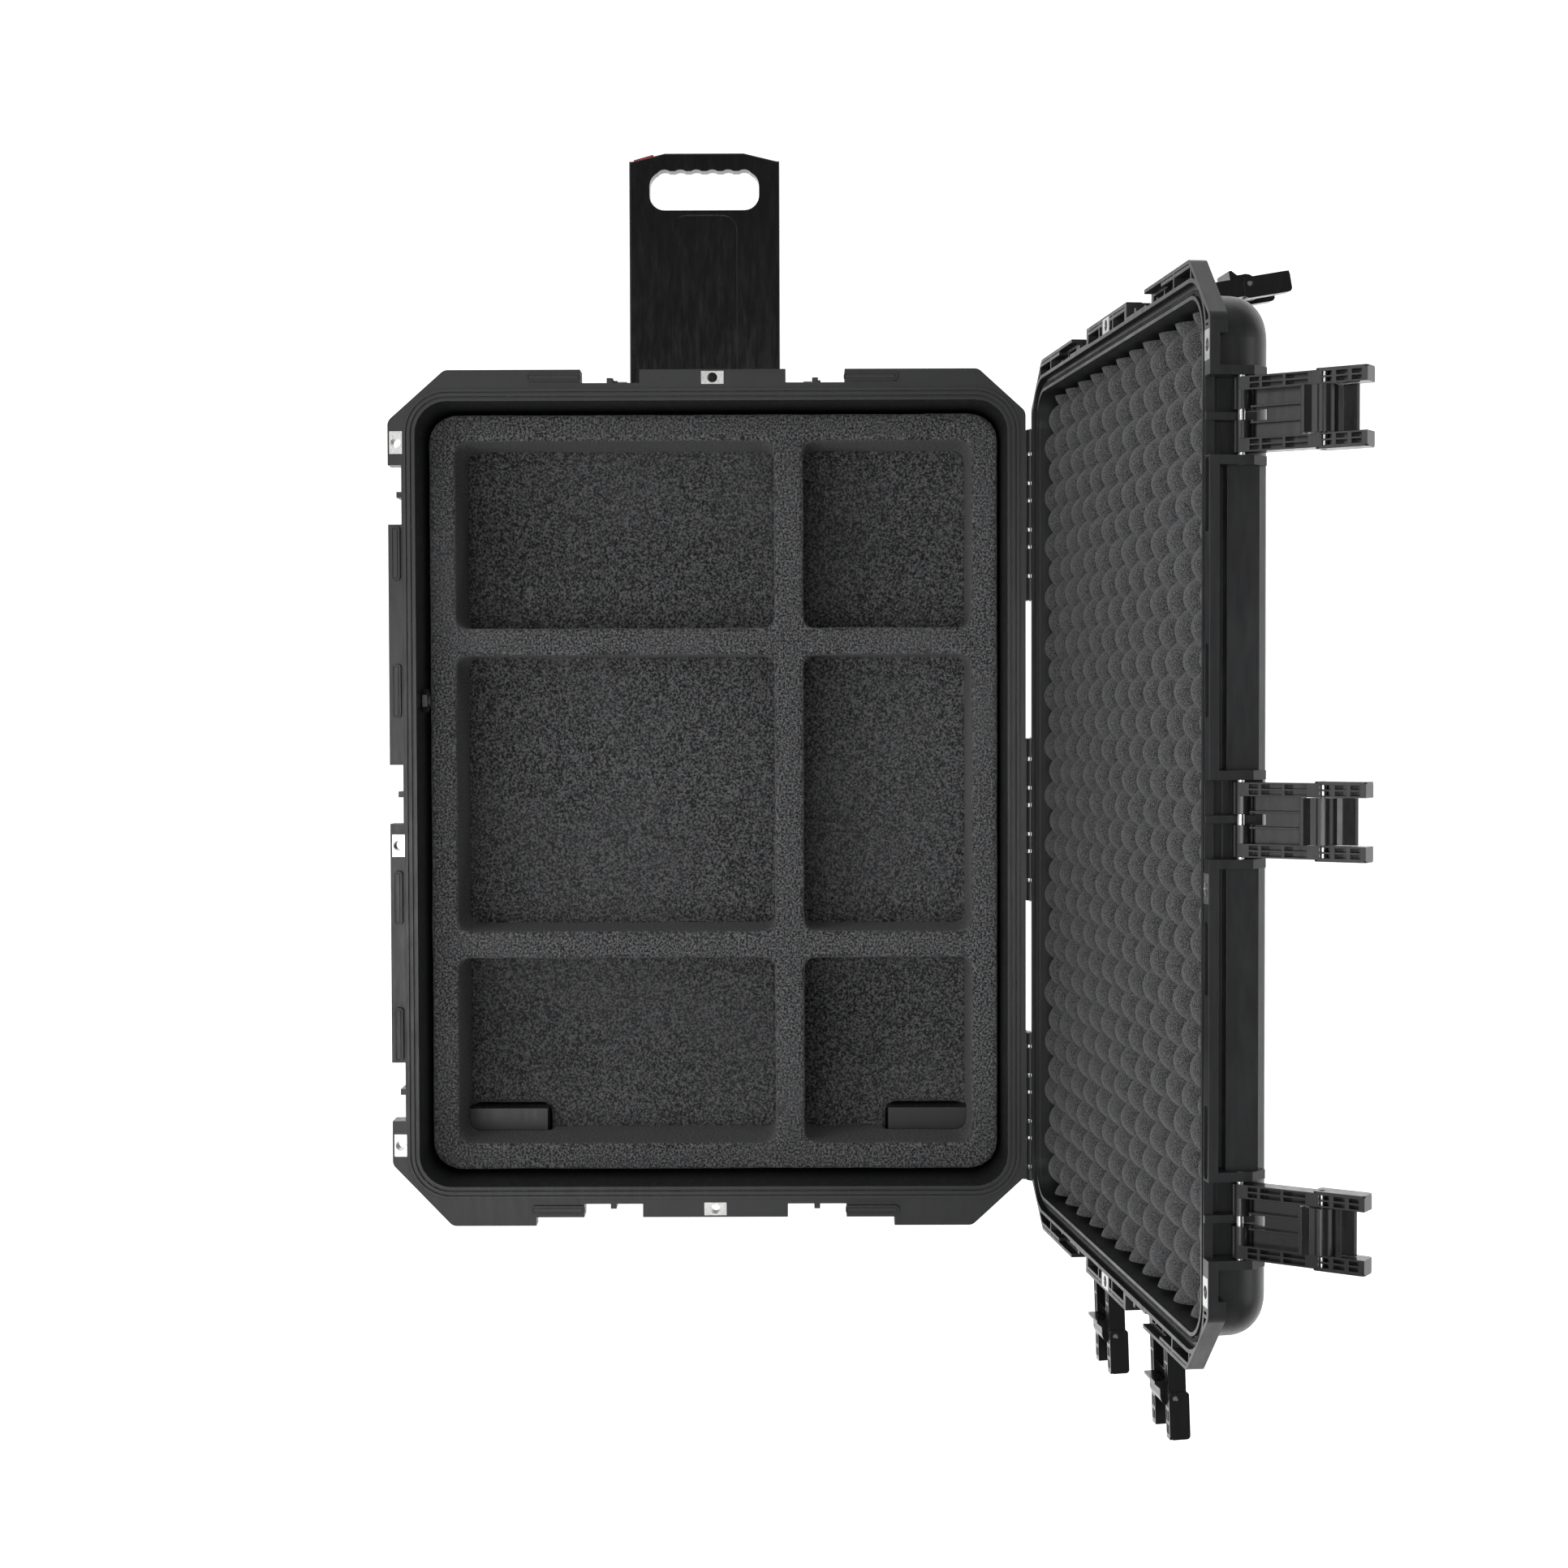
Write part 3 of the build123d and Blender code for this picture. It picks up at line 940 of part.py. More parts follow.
with BuildPart() as bolt_spring:
    spring_start = HANDLE_Y - HANDLE_WIDTH / 2 - BOLT_REACH + BOLT_LENGTH
    spring_length = HANDLE_Y - HANDLE_WIDTH / 2 + BOLT_POCKET - spring_start
    coils = 4
    for index in range(coils):
        along = spring_start + BOLT_REACH + (index + 0.5) * (spring_length - BOLT_REACH) / coils
        with BuildSketch(Plane.XZ.offset(-along - 0.4)):
            with Locations((BOLT_X, ROD_Z)):
                Circle(4.2)
                Circle(3.2, mode=Mode.SUBTRACT)
        extrude(amount=0.8)
save(bolt_spring, "bolt_spring")

# ------------------------------------------------------------------ lid shell, swung open
RECESS_TOP = RIDGE_HEIGHTS[1] + SEAL_CLEARANCE + SEAL_HEIGHT
with BuildPart() as lid_shell:
    # dish
    with BuildSketch(LID.offset(LID_GAP)):
        add(opening_outline(WALL))
    extrude(amount=LID_HEIGHT - LID_GAP, taper=DRAFT)
    fillet(lid_shell.faces().sort_by(LID_UP)[-1].edges(), LID_EDGE_RADIUS)
    # flange with its open cells
    with BuildSketch(LID.offset(LID_GAP)):
        add(flange_outline())
    extrude(amount=LID_FLANGE_HEIGHT - LID_GAP)
    with BuildSketch(LID.offset(LID_GAP)):
        add(flange_cells(RIM_WIDTH + RIM_CLEARANCE + SKIRT_WALL))
        with Locations((FRONT_CENTRE_X, -FRONT_Y), (FRONT_CENTRE_X, REAR_Y)):
            Rectangle(2 * LONG_SIDE_PLAIN, 2 * FLANGE_FRONT, mode=Mode.SUBTRACT)
    extrude(amount=LID_FLANGE_HEIGHT - LID_FLANGE_TOP - LID_GAP, mode=Mode.SUBTRACT)
    # the front flange is shallower than the ends
    front_band = FRONT_Y - HALF_WIDTH - WALL
    with BuildSketch(LID.offset(FRONT_FLANGE_HEIGHT)):
        with Locations((FRONT_CENTRE_X, -FRONT_Y + front_band / 2)):
            Rectangle(2 * LONG_SIDE_PLAIN, front_band)
    extrude(amount=LID_FLANGE_HEIGHT, mode=Mode.SUBTRACT)
    # raised front panels between the latch bays
    with BuildSketch(side_plane(LID, FRONT_LATCH_X[0] + NOTCH_WIDTH / 2)):
        with BuildLine():
            Polyline(
                (-FRONT_Y + PANEL_SETBACK, PANEL_FOOT),
                (-FRONT_Y + PANEL_SETBACK, LID_HEIGHT - PANEL_HEAD - PANEL_ROUND),
                (-FRONT_Y + PANEL_SETBACK + PANEL_ROUND, LID_HEIGHT - PANEL_HEAD),
                (-HALF_WIDTH + PANEL_ROOT, LID_HEIGHT - PANEL_HEAD),
                (-HALF_WIDTH + PANEL_ROOT, PANEL_FOOT),
                close=True,
            )
        make_face()
    extrude(amount=2 * FRONT_LATCH_OFFSET - NOTCH_WIDTH)
    with BuildSketch(LID.offset(LID_FLANGE_HEIGHT)):
        with Locations((FRONT_LATCH_X[1], -FRONT_Y)):
            Rectangle(NOTCH_WIDTH, 2 * (FLANGE_FRONT - WALL))
    extrude(amount=LID_HEIGHT, mode=Mode.SUBTRACT)
    # latch bays: side walls, centre guide, notch and pin bores
    wall_starts = (-NOTCH_WIDTH / 2 - BAY_WALL, NOTCH_WIDTH / 2)
    with BuildSketch(*[side_plane(bay, start) for bay in BAY_FRAMES for start in wall_starts]):
        with BuildLine():
            Polyline(
                (-LATCH_INSET + 0.5, LID_GAP), (BAY_DEPTH, LID_GAP),
                (BAY_DEPTH, BAY_HEIGHT), (LATCH_PIN_RADIUS + 4, BAY_HEIGHT),
                (-LATCH_INSET + 0.5, BAY_HEIGHT - 12),
                close=True,
            )
        make_face()
    extrude(amount=BAY_WALL)
    with BuildSketch(LID.offset(LID_GAP)):
        add(latch_seats(NOTCH_WIDTH, NOTCH_DEPTH))
    extrude(amount=LID_FLANGE_HEIGHT, mode=Mode.SUBTRACT)
    with BuildSketch(*[side_plane(bay, -GUIDE_WIDTH / 2) for bay in BAY_FRAMES]):
        with Locations(((BAY_DEPTH + BAY_GUIDE_SETBACK) / 2, LID_GAP + BAY_GUIDE_HEIGHT / 2)):
            Rectangle(BAY_DEPTH - BAY_GUIDE_SETBACK, BAY_GUIDE_HEIGHT)
    extrude(amount=GUIDE_WIDTH)
    with BuildSketch(*[side_plane(bay, -NOTCH_WIDTH / 2 - BAY_WALL) for bay in BAY_FRAMES]):
        with Locations((0, LATCH_PIVOT_RISE)):
            Circle(LATCH_PIN_RADIUS + PIN_CLEARANCE)
    extrude(amount=NOTCH_WIDTH + 2 * BAY_WALL, mode=Mode.SUBTRACT)
    # inside, and slots over the alignment bars
    add(LID_CAVITY, mode=Mode.SUBTRACT)
    with BuildSketch(LID):
        add(alignment_bars(BAR_CLEARANCE))
    extrude(amount=BAR_HEIGHT + 1, mode=Mode.SUBTRACT)
    # seal recess over the ridges, with the inner lip
    with BuildSketch(LID):
        add(ring(-1, RIM_WIDTH + RIM_CLEARANCE))
    extrude(amount=RECESS_TOP, mode=Mode.SUBTRACT)
    with BuildSketch(LID.offset(RIDGE_HEIGHTS[0] + LID_GAP)):
        add(ring(0.3, RIDGE_WIDTH))
    extrude(amount=RECESS_TOP - RIDGE_HEIGHTS[0] - LID_GAP + 1)
    # padlock plate beds and holes
    with BuildSketch(LID.offset(LID_GAP)):
        with Locations(*PADLOCK_SPOTS):
            Rectangle(PLATE_LENGTH, PLATE_WIDTH)
    extrude(amount=PLATE_THICKNESS, mode=Mode.SUBTRACT)
    with BuildSketch(LID):
        with Locations(*PADLOCK_POINTS):
            Circle(EYELET_RADIUS)
    extrude(amount=LID_FLANGE_HEIGHT + 1, mode=Mode.SUBTRACT)
    # hinge knuckles, with room cut for the base's
    add(LID_KNUCKLES)
    add(BASE_KNUCKLE_ROOM, mode=Mode.SUBTRACT)
    with BuildSketch(side_plane(LID, -FLANGE_X)):
        with Locations((HINGE_Y, HINGE_RISE)):
            Circle(HINGE_PIN_RADIUS + PIN_CLEARANCE)
    extrude(amount=2 * FLANGE_X, mode=Mode.SUBTRACT)
save(lid_shell, "lid_shell")

with BuildPart() as lid_padlock_plates:
    with BuildSketch(LID.offset(LID_GAP)):
        with Locations(*PADLOCK_SPOTS):
            Rectangle(PLATE_LENGTH, PLATE_WIDTH)
    extrude(amount=PLATE_THICKNESS)
    with BuildSketch(LID.offset(LID_GAP)):
        with Locations(*PADLOCK_POINTS):
            Circle(EYELET_RADIUS)
    extrude(amount=FRONT_FLANGE_HEIGHT - LID_GAP)
    with BuildSketch(LID):
        with Locations(*PADLOCK_POINTS):
            Circle(PADLOCK_RADIUS)
    extrude(amount=LID_FLANGE_HEIGHT, mode=Mode.SUBTRACT)
save(lid_padlock_plates, "lid_padlock_plates")

with BuildPart() as lid_seal:
    with BuildSketch(LID.offset(RECESS_TOP - SEAL_HEIGHT)):
        add(ring(RIDGE_WIDTH + RIDGE_GAP, 2 * RIDGE_WIDTH + RIDGE_GAP))
    extrude(amount=SEAL_HEIGHT)
save(lid_seal, "lid_seal")

with BuildPart() as lid_foam:
    with BuildSketch(LID.offset(LID_FOAM_RECESS)):
        RectangleRounded(LID_FOAM_LENGTH, LID_FOAM_WIDTH, LID_FOAM_RADIUS)
    extrude(amount=LID_DEPTH - LID_FOAM_RECESS)
    fillet(lid_foam.faces().sort_by(LID_UP)[-1].edges(), LID_EDGE_RADIUS - WALL + 2)
save(lid_foam, "lid_foam")

with BuildPart() as latch_pivot_pins:
    with BuildSketch(*[side_plane(bay, -NOTCH_WIDTH / 2 - BAY_WALL) for bay in BAY_FRAMES]):
        with Locations((0, LATCH_PIVOT_RISE)):
            Circle(LATCH_PIN_RADIUS)
    extrude(amount=NOTCH_WIDTH + 2 * BAY_WALL)
save(latch_pivot_pins, "latch_pivot_pins")

# ------------------------------------------------------------------ latches
# one latch about its pivot: x along the pin, y inward, z up, closed with the tip hanging down
LEVER_CORE = LATCH_WIDTH / 2 - LATCH_ARM
LEVER_DEPTH = LEVER_FRONT + LEVER_BACK
LEVER_MIDDLE = (LEVER_BACK - LEVER_FRONT) / 2
with BuildPart() as lever_shape:
    with BuildSketch(side_plane(Plane.XY, -LATCH_WIDTH / 2), side_plane(Plane.XY, LEVER_CORE)):
        with Locations((LEVER_MIDDLE, 0)):
            Circle(LEVER_DEPTH / 2)
        with Locations((LEVER_MIDDLE, -LATCH_LENGTH / 2)):
            Rectangle(LEVER_DEPTH, LATCH_LENGTH)
    extrude(amount=LATCH_ARM)
    # wider block at each tip
    with BuildSketch(side_plane(Plane.XY, -LATCH_WIDTH / 2 - TIP_FLARE), side_plane(Plane.XY, LEVER_CORE)):
        with Locations((LEVER_MIDDLE - TIP_BULGE / 2, -(LATCH_LENGTH + TIP_START) / 2)):
            RectangleRounded(LEVER_DEPTH + TIP_BULGE, LATCH_LENGTH - TIP_START, 3)
    extrude(amount=LATCH_ARM + TIP_FLARE)
    # barrel halves round the pivot, with the slot over the bay's guide between them
    with BuildSketch(side_plane(Plane.XY, -LEVER_CORE), side_plane(Plane.XY, GUIDE_SLOT / 2)):
        with Locations((LEVER_MIDDLE, 0)):
            Circle(LEVER_DEPTH / 2)
    extrude(amount=LEVER_CORE - GUIDE_SLOT / 2)
    # skin between the arms, its cross rib and its two long ribs
    with BuildSketch(side_plane(Plane.XY, -LEVER_CORE)):
        with Locations((-LEVER_FRONT + LEVER_SKIN / 2, -SKIN_END / 2)):
            Rectangle(LEVER_SKIN, SKIN_END)
        with Locations((-LEVER_FRONT / 2 + 0.5, -SKIN_END)):
            Rectangle(LEVER_FRONT + 1, LEVER_RIB)
    extrude(amount=2 * LEVER_CORE)
    with BuildSketch(*[side_plane(Plane.XY, s * GUIDE_WIDTH - LEVER_RIB / 2) for s in (-1, 1)]):
        with Locations((-LEVER_FRONT / 2, -SKIN_END / 2)):
            Rectangle(LEVER_FRONT, SKIN_END)
    extrude(amount=LEVER_RIB)
    with BuildSketch(side_plane(Plane.XY, -GUIDE_SLOT / 2)):
        Rectangle(4 * LEVER_FRONT, 2 * GUIDE_SLOT_DEPTH)
    extrude(amount=GUIDE_SLOT, mode=Mode.SUBTRACT)
    # pockets of the arms, pin bores
    pocket_rows = [
        side * (LATCH_WIDTH - LATCH_ARM) / 2 + row * ARM_POCKET_OFFSET - ARM_POCKET / 2
        for side in (-1, 1) for row in (-1, 1)
    ]
    with BuildSketch(*[side_plane(Plane.XY, along) for along in pocket_rows]):
        for top, bottom in ARM_POCKETS:
            with Locations((LEVER_BACK, -(top + bottom) / 2)):
                Rectangle(2 * ARM_POCKET_DEPTH, bottom - top)
    extrude(amount=ARM_POCKET, mode=Mode.SUBTRACT)
    with BuildSketch(side_plane(Plane.XY, -LATCH_WIDTH)):
        Circle(LATCH_PIN_RADIUS + PIN_CLEARANCE)
        with Locations((0, -TRIGGER_DROP)):
            Circle(TRIGGER_PIN_RADIUS + PIN_CLEARANCE)
    extrude(amount=2 * LATCH_WIDTH, mode=Mode.SUBTRACT)

with BuildPart() as trigger_shape:
    with BuildSketch(side_plane(Plane.XY, -LEVER_CORE + TRIGGER_GAP)):
        with Locations((0, -TRIGGER_DROP)):
            Circle(TRIGGER_RADIUS)
        # hook, above the pin
        with BuildLine():
            Polyline(
                (2, -TRIGGER_DROP), (2, -TRIGGER_DROP + 8), (4.5, -HOOK_TOP),
                (HOOK_REACH, -HOOK_TOP), (HOOK_REACH, -HOOK_TOP - 2.2),
                (TRIGGER_RADIUS, -HOOK_TOP - 6), (TRIGGER_RADIUS - 0.2, -TRIGGER_DROP),
                close=True,
            )
        make_face()
        # finger paddle, below the pin
        with BuildLine():
            Polyline(
                (-TRIGGER_RADIUS, -TRIGGER_DROP), (-TRIGGER_RADIUS, -TRIGGER_DROP - 12),
                (-TRIGGER_RADIUS + 2, -TRIGGER_END + 2), (-TRIGGER_RADIUS + 4, -TRIGGER_END),
                (-TRIGGER_RADIUS + 6, -TRIGGER_END + 1), (-TRIGGER_RADIUS + 5, -TRIGGER_DROP - 12),
                (0, -TRIGGER_DROP - 4),
                close=True,
            )
        make_face()
    extrude(amount=2 * (LEVER_CORE - TRIGGER_GAP))
    with BuildSketch(side_plane(Plane.XY, -LEVER_CORE)):
        with Locations((0, -TRIGGER_DROP)):
            Circle(TRIGGER_PIN_RADIUS + PIN_CLEARANCE)
    extrude(amount=2 * LEVER_CORE, mode=Mode.SUBTRACT)

for name, frame in LATCH_FRAMES.items():
    with BuildPart(frame) as lever:
        add(lever_shape.part)
    save(lever, f"lever_{name}")
    with BuildPart(frame) as trigger:
        add(trigger_shape.part)
    save(trigger, f"trigger_{name}")
    with BuildPart() as trigger_pin:
        with BuildSketch(side_plane(frame, -LATCH_WIDTH / 2)):
            with Locations((0, -TRIGGER_DROP)):
                Circle(TRIGGER_PIN_RADIUS)
        extrude(amount=LATCH_WIDTH)
    save(trigger_pin, f"trigger_pin_{name}")
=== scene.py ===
"""Looks of a wheeled hard equipment case, lying open on its back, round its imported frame.

The case is a black moulded base with pocketed foam, a hinged lid lined with egg-crate foam, seven
pivoting latches, three carry handles, two wheels and a sliding pull handle. Lengths are in metres,
with +X from the pull-handle end to the wheel end, +Y towards the hinge and +Z up.
"""

import json
import logging
import math
from collections.abc import Iterable, Sequence
from dataclasses import dataclass, field
from enum import Enum

import bmesh
import bpy
from mathutils import Euler, Matrix, Vector, noise


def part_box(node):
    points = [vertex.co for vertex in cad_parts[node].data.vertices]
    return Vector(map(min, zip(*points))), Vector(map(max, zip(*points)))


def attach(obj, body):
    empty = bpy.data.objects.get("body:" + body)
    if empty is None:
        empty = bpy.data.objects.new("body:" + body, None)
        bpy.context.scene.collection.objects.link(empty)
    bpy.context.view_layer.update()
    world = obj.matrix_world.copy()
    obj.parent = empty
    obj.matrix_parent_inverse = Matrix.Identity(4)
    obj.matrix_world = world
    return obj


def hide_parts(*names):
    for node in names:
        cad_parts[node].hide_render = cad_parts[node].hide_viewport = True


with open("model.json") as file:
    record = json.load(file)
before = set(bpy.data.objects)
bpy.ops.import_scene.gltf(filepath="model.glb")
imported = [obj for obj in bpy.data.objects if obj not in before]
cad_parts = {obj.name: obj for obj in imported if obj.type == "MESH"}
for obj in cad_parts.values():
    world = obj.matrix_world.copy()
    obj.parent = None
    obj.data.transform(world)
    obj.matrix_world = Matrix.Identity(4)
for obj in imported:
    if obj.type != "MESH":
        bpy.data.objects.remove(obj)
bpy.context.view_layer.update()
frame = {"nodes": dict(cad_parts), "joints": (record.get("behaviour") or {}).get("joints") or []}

LOG = logging.getLogger("equipment_case")

Colour = tuple[float, float, float]
Profile = Sequence[tuple[float, float]]


# ---------------------------------------------------------------------------- node trees
@dataclass
class NodeSheet:
    """A new node material and short ways to add nodes to it."""

    name: str
    material: bpy.types.Material = field(init=False)

    def __post_init__(self) -> None:
        """Make the material with an empty shader behind its output."""
        self.material = bpy.data.materials.new(self.name)
        self.material.use_nodes = True
        self.tree = self.material.node_tree
        self.shader = self.tree.nodes["Principled BSDF"]
        self.place = self.tree.nodes.new("ShaderNodeTexCoord").outputs["Object"]

    def add(self, kind: str, **settings: object) -> bpy.types.Node:
        """Add a node.

        Args:
            kind: The node's Blender type without its ShaderNode prefix.
            **settings: Attributes of the node.

        Returns:
            The new node.
        """
        node = self.tree.nodes.new("ShaderNode" + kind)
        for key, value in settings.items():
            setattr(node, key, value)
        return node

    def link(self, source: bpy.types.NodeSocket, target: bpy.types.NodeSocket) -> None:
        """Join an output socket to an input socket."""
        self.tree.links.new(source, target)

    def stretched(self, scale: Colour) -> bpy.types.NodeSocket:
        """Give the object coordinates scaled unevenly, for scratches and brushing.

        Args:
            scale: The three factors.

        Returns:
            The scaled vector.
        """
        mapping = self.add("Mapping")
        mapping.inputs["Scale"].default_value = scale
        self.link(self.place, mapping.inputs["Vector"])
        return mapping.outputs["Vector"]

    def noise(self, scale: float, detail: float = 3.0, rough: float = 0.55,
              vector: bpy.types.NodeSocket | None = None) -> bpy.types.NodeSocket:
        """Add a noise texture.

        Args:
            scale: Features per metre.
            detail: Octaves.
            rough: Weight of the finer octaves.
            vector: Coordinates, or None for the object's own.

        Returns:
            The noise value, from 0 to 1.
        """
        node = self.add("TexNoise")
        node.inputs["Scale"].default_value = scale
        node.inputs["Detail"].default_value = detail
        node.inputs["Roughness"].default_value = rough
        self.link(vector or self.place, node.inputs["Vector"])
        return node.outputs["Fac"]

    def cells(self, scale: float) -> bpy.types.NodeSocket:
        """Add a Voronoi texture and give the distance to the nearest cell's middle."""
        node = self.add("TexVoronoi")
        node.inputs["Scale"].default_value = scale
        self.link(self.place, node.inputs["Vector"])
        return node.outputs["Distance"]

    def spread(self, value: bpy.types.NodeSocket, low: float, high: float,
               out_low: float, out_high: float) -> bpy.types.NodeSocket:
        """Map a value from one range to another, clamped.

        Args:
            value: The value to map.
            low: Start of the range read.
            high: End of the range read.
            out_low: Result at the start.
            out_high: Result at the end.

        Returns:
            The mapped value.
        """
        node = self.add("MapRange")
        self.link(value, node.inputs["Value"])
        for key, number in zip(("From Min", "From Max", "To Min", "To Max"),
                               (low, high, out_low, out_high)):
            node.inputs[key].default_value = number
        return node.outputs["Result"]

    def mixed(self, amount: bpy.types.NodeSocket, first: Colour | bpy.types.NodeSocket,
              second: Colour) -> bpy.types.NodeSocket:
        """Mix two colours.

        Args:
            amount: 0 for the first, 1 for the second.
            first: A colour, or a socket that carries one.
            second: A colour.

        Returns:
            The mixed colour.
        """
        node = self.add("Mix", data_type="RGBA")
        self.link(amount, node.inputs["Factor"])
        if isinstance(first, tuple):
            node.inputs["A"].default_value = (*first, 1)
        else:
            self.link(first, node.inputs["A"])
        node.inputs["B"].default_value = (*second, 1)
        return node.outputs["Result"]

    def edges(self, radius: float) -> tuple[bpy.types.NodeSocket, bpy.types.NodeSocket]:
        """Round the shading of sharp edges.

        Args:
            radius: Radius of the rounding.

        Returns:
            The rounded normal, and a mask that is 1 on the edges.
        """
        bevel = self.add("Bevel", samples=6)
        bevel.inputs["Radius"].default_value = radius
        flat = self.add("NewGeometry").outputs["Normal"]
        dot = self.add("VectorMath", operation="DOT_PRODUCT")
        self.link(bevel.outputs["Normal"], dot.inputs[0])
        self.link(flat, dot.inputs[1])
        mask = self.spread(dot.outputs["Value"], 0.995, 0.85, 0.0, 1.0)
        return bevel.outputs["Normal"], mask

    def bump(self, height: bpy.types.NodeSocket, depth: float, strength: float = 1.0,
             normal: bpy.types.NodeSocket | None = None) -> bpy.types.NodeSocket:
        """Turn a height into a normal.

        Args:
            height: The height, from 0 to 1.
            depth: Depth of the relief, in metres.
            strength: Share of the relief that shows.
            normal: A normal to start from.

        Returns:
            The bumped normal.
        """
        node = self.add("Bump")
        node.inputs["Strength"].default_value = strength
        node.inputs["Distance"].default_value = depth
        self.link(height, node.inputs["Height"])
        if normal:
            self.link(normal, node.inputs["Normal"])
        return node.outputs["Normal"]

    def finish(self, colour: bpy.types.NodeSocket, rough: bpy.types.NodeSocket,
               normal: bpy.types.NodeSocket, **constants: object) -> bpy.types.Material:
        """Join the three main sockets to the shader.

        Args:
            colour: Base colour.
            rough: Roughness.
            normal: Normal.
            **constants: Fixed shader inputs, with spaces written as underscores.

        Returns:
            The finished material.
        """
        self.link(colour, self.shader.inputs["Base Color"])
        self.link(rough, self.shader.inputs["Roughness"])
        self.link(normal, self.shader.inputs["Normal"])
        for key, value in constants.items():
            self.shader.inputs[key.replace("_", " ")].default_value = value
        return self.material


# ---------------------------------------------------------------------------- finishes
@dataclass(frozen=True)
class MouldedPlastic:
    """Hard black plastic from a mould: fine grain, soft flow marks, worn and polished edges."""

    name: str
    colour: Colour
    edge_colour: Colour
    roughness: float
    grain: float = 900.0
    grain_depth: float = 0.00006
    edge_radius: float = 0.0007
    specular: float = 0.5

    def build(self) -> bpy.types.Material:
        """Make the material."""
        sheet = NodeSheet(self.name)
        normal, edge = sheet.edges(self.edge_radius)
        flow = sheet.noise(9.0, 4.0, 0.6)
        lighter = tuple(1.5 * part for part in self.colour)
        body = sheet.mixed(sheet.spread(flow, 0.35, 0.7, 0.0, 1.0), self.colour, lighter)
        worn = sheet.add("Math", operation="MULTIPLY")
        sheet.link(edge, worn.inputs[0])
        sheet.link(sheet.spread(sheet.noise(60.0, 5.0, 0.7), 0.35, 0.65, 0.15, 0.8), worn.inputs[1])
        colour = sheet.mixed(worn.outputs["Value"], body, self.edge_colour)
        scuffs = sheet.noise(28.0, 6.0, 0.75, sheet.stretched((1.0, 5.0, 2.0)))
        rough = sheet.spread(scuffs, 0.3, 0.7, self.roughness - 0.07, self.roughness + 0.1)
        grain = sheet.noise(self.grain, 2.0, 0.5)
        return sheet.finish(colour, rough, sheet.bump(grain, self.grain_depth, 0.5, normal),
                            Specular_IOR_Level=self.specular)


@dataclass(frozen=True)
class CellFoam:
    """Open-cell foam: a dark felted skin of fine crumbs with deeper pits."""

    name: str
    dark: Colour
    light: Colour
    crumb: float = 500.0
    depth: float = 0.0011

    def build(self) -> bpy.types.Material:
        """Make the material."""
        sheet = NodeSheet(self.name)
        fine = sheet.noise(self.crumb, 3.0, 0.7)
        pits = sheet.cells(self.crumb * 0.55)
        broad = sheet.noise(7.0, 3.0, 0.5)
        height = sheet.add("Math", operation="MULTIPLY_ADD")
        sheet.link(sheet.spread(pits, 0.0, 0.8, 0.0, 1.0), height.inputs[0])
        height.inputs[1].default_value = 0.5
        sheet.link(sheet.spread(fine, 0.3, 0.7, 0.0, 0.5), height.inputs[2])
        crumbs = sheet.mixed(sheet.spread(fine, 0.43, 0.64, 0.0, 1.0), self.dark, self.light)
        shade = tuple(0.55 * part for part in self.light)
        colour = sheet.mixed(sheet.spread(broad, 0.45, 0.8, 0.0, 0.35), crumbs, shade)
        rough = sheet.spread(fine, 0.3, 0.7, 0.95, 0.8)
        normal = sheet.bump(height.outputs["Value"], self.depth, 0.7)
        return sheet.finish(colour, rough, normal, Specular_IOR_Level=0.25, Sheen_Weight=0.15,
                            Sheen_Roughness=0.6)


@dataclass(frozen=True)
class BrushedSteel:
    """Stainless steel with fine brushing and dull handling marks."""

    name: str
    colour: Colour
    roughness: float
    edge_radius: float = 0.0004

    def build(self) -> bpy.types.Material:
        """Make the material."""
        sheet = NodeSheet(self.name)
        normal, edge = sheet.edges(self.edge_radius)
        brush = sheet.noise(160.0, 4.0, 0.6, sheet.stretched((1.0, 22.0, 9.0)))
        darker = tuple(0.6 * part for part in self.colour)
        body = sheet.mixed(sheet.spread(sheet.noise(45.0, 4.0), 0.5, 0.75, 0.0, 0.7),
                           self.colour, darker)
        colour = sheet.mixed(edge, body, (0.85, 0.85, 0.84))
        rough = sheet.spread(brush, 0.3, 0.7, self.roughness - 0.08, self.roughness + 0.14)
        return sheet.finish(colour, rough, sheet.bump(brush, 0.00003, 0.5, normal), Metallic=1.0)


@dataclass(frozen=True)
class SoftRubber:
    """Matt moulded rubber with a powdery, faintly dusty skin."""

    name: str
    colour: Colour
    dust: Colour
    roughness: float = 0.72

    def build(self) -> bpy.types.Material:
        """Make the material."""
        sheet = NodeSheet(self.name)
        normal, edge = sheet.edges(0.0006)
        dusty = sheet.spread(sheet.noise(38.0, 5.0, 0.65), 0.45, 0.8, 0.0, 0.5)
        body = sheet.mixed(dusty, self.colour, self.dust)
        colour = sheet.mixed(sheet.spread(edge, 0.0, 1.0, 0.0, 0.35), body, self.dust)
        rough = sheet.spread(sheet.noise(90.0, 3.0), 0.3, 0.7, self.roughness - 0.1,
                             self.roughness + 0.12)
        skin = sheet.noise(1500.0, 2.0)
        return sheet.finish(colour, rough, sheet.bump(skin, 0.00012, 0.6, normal),
                            Specular_IOR_Level=0.35)


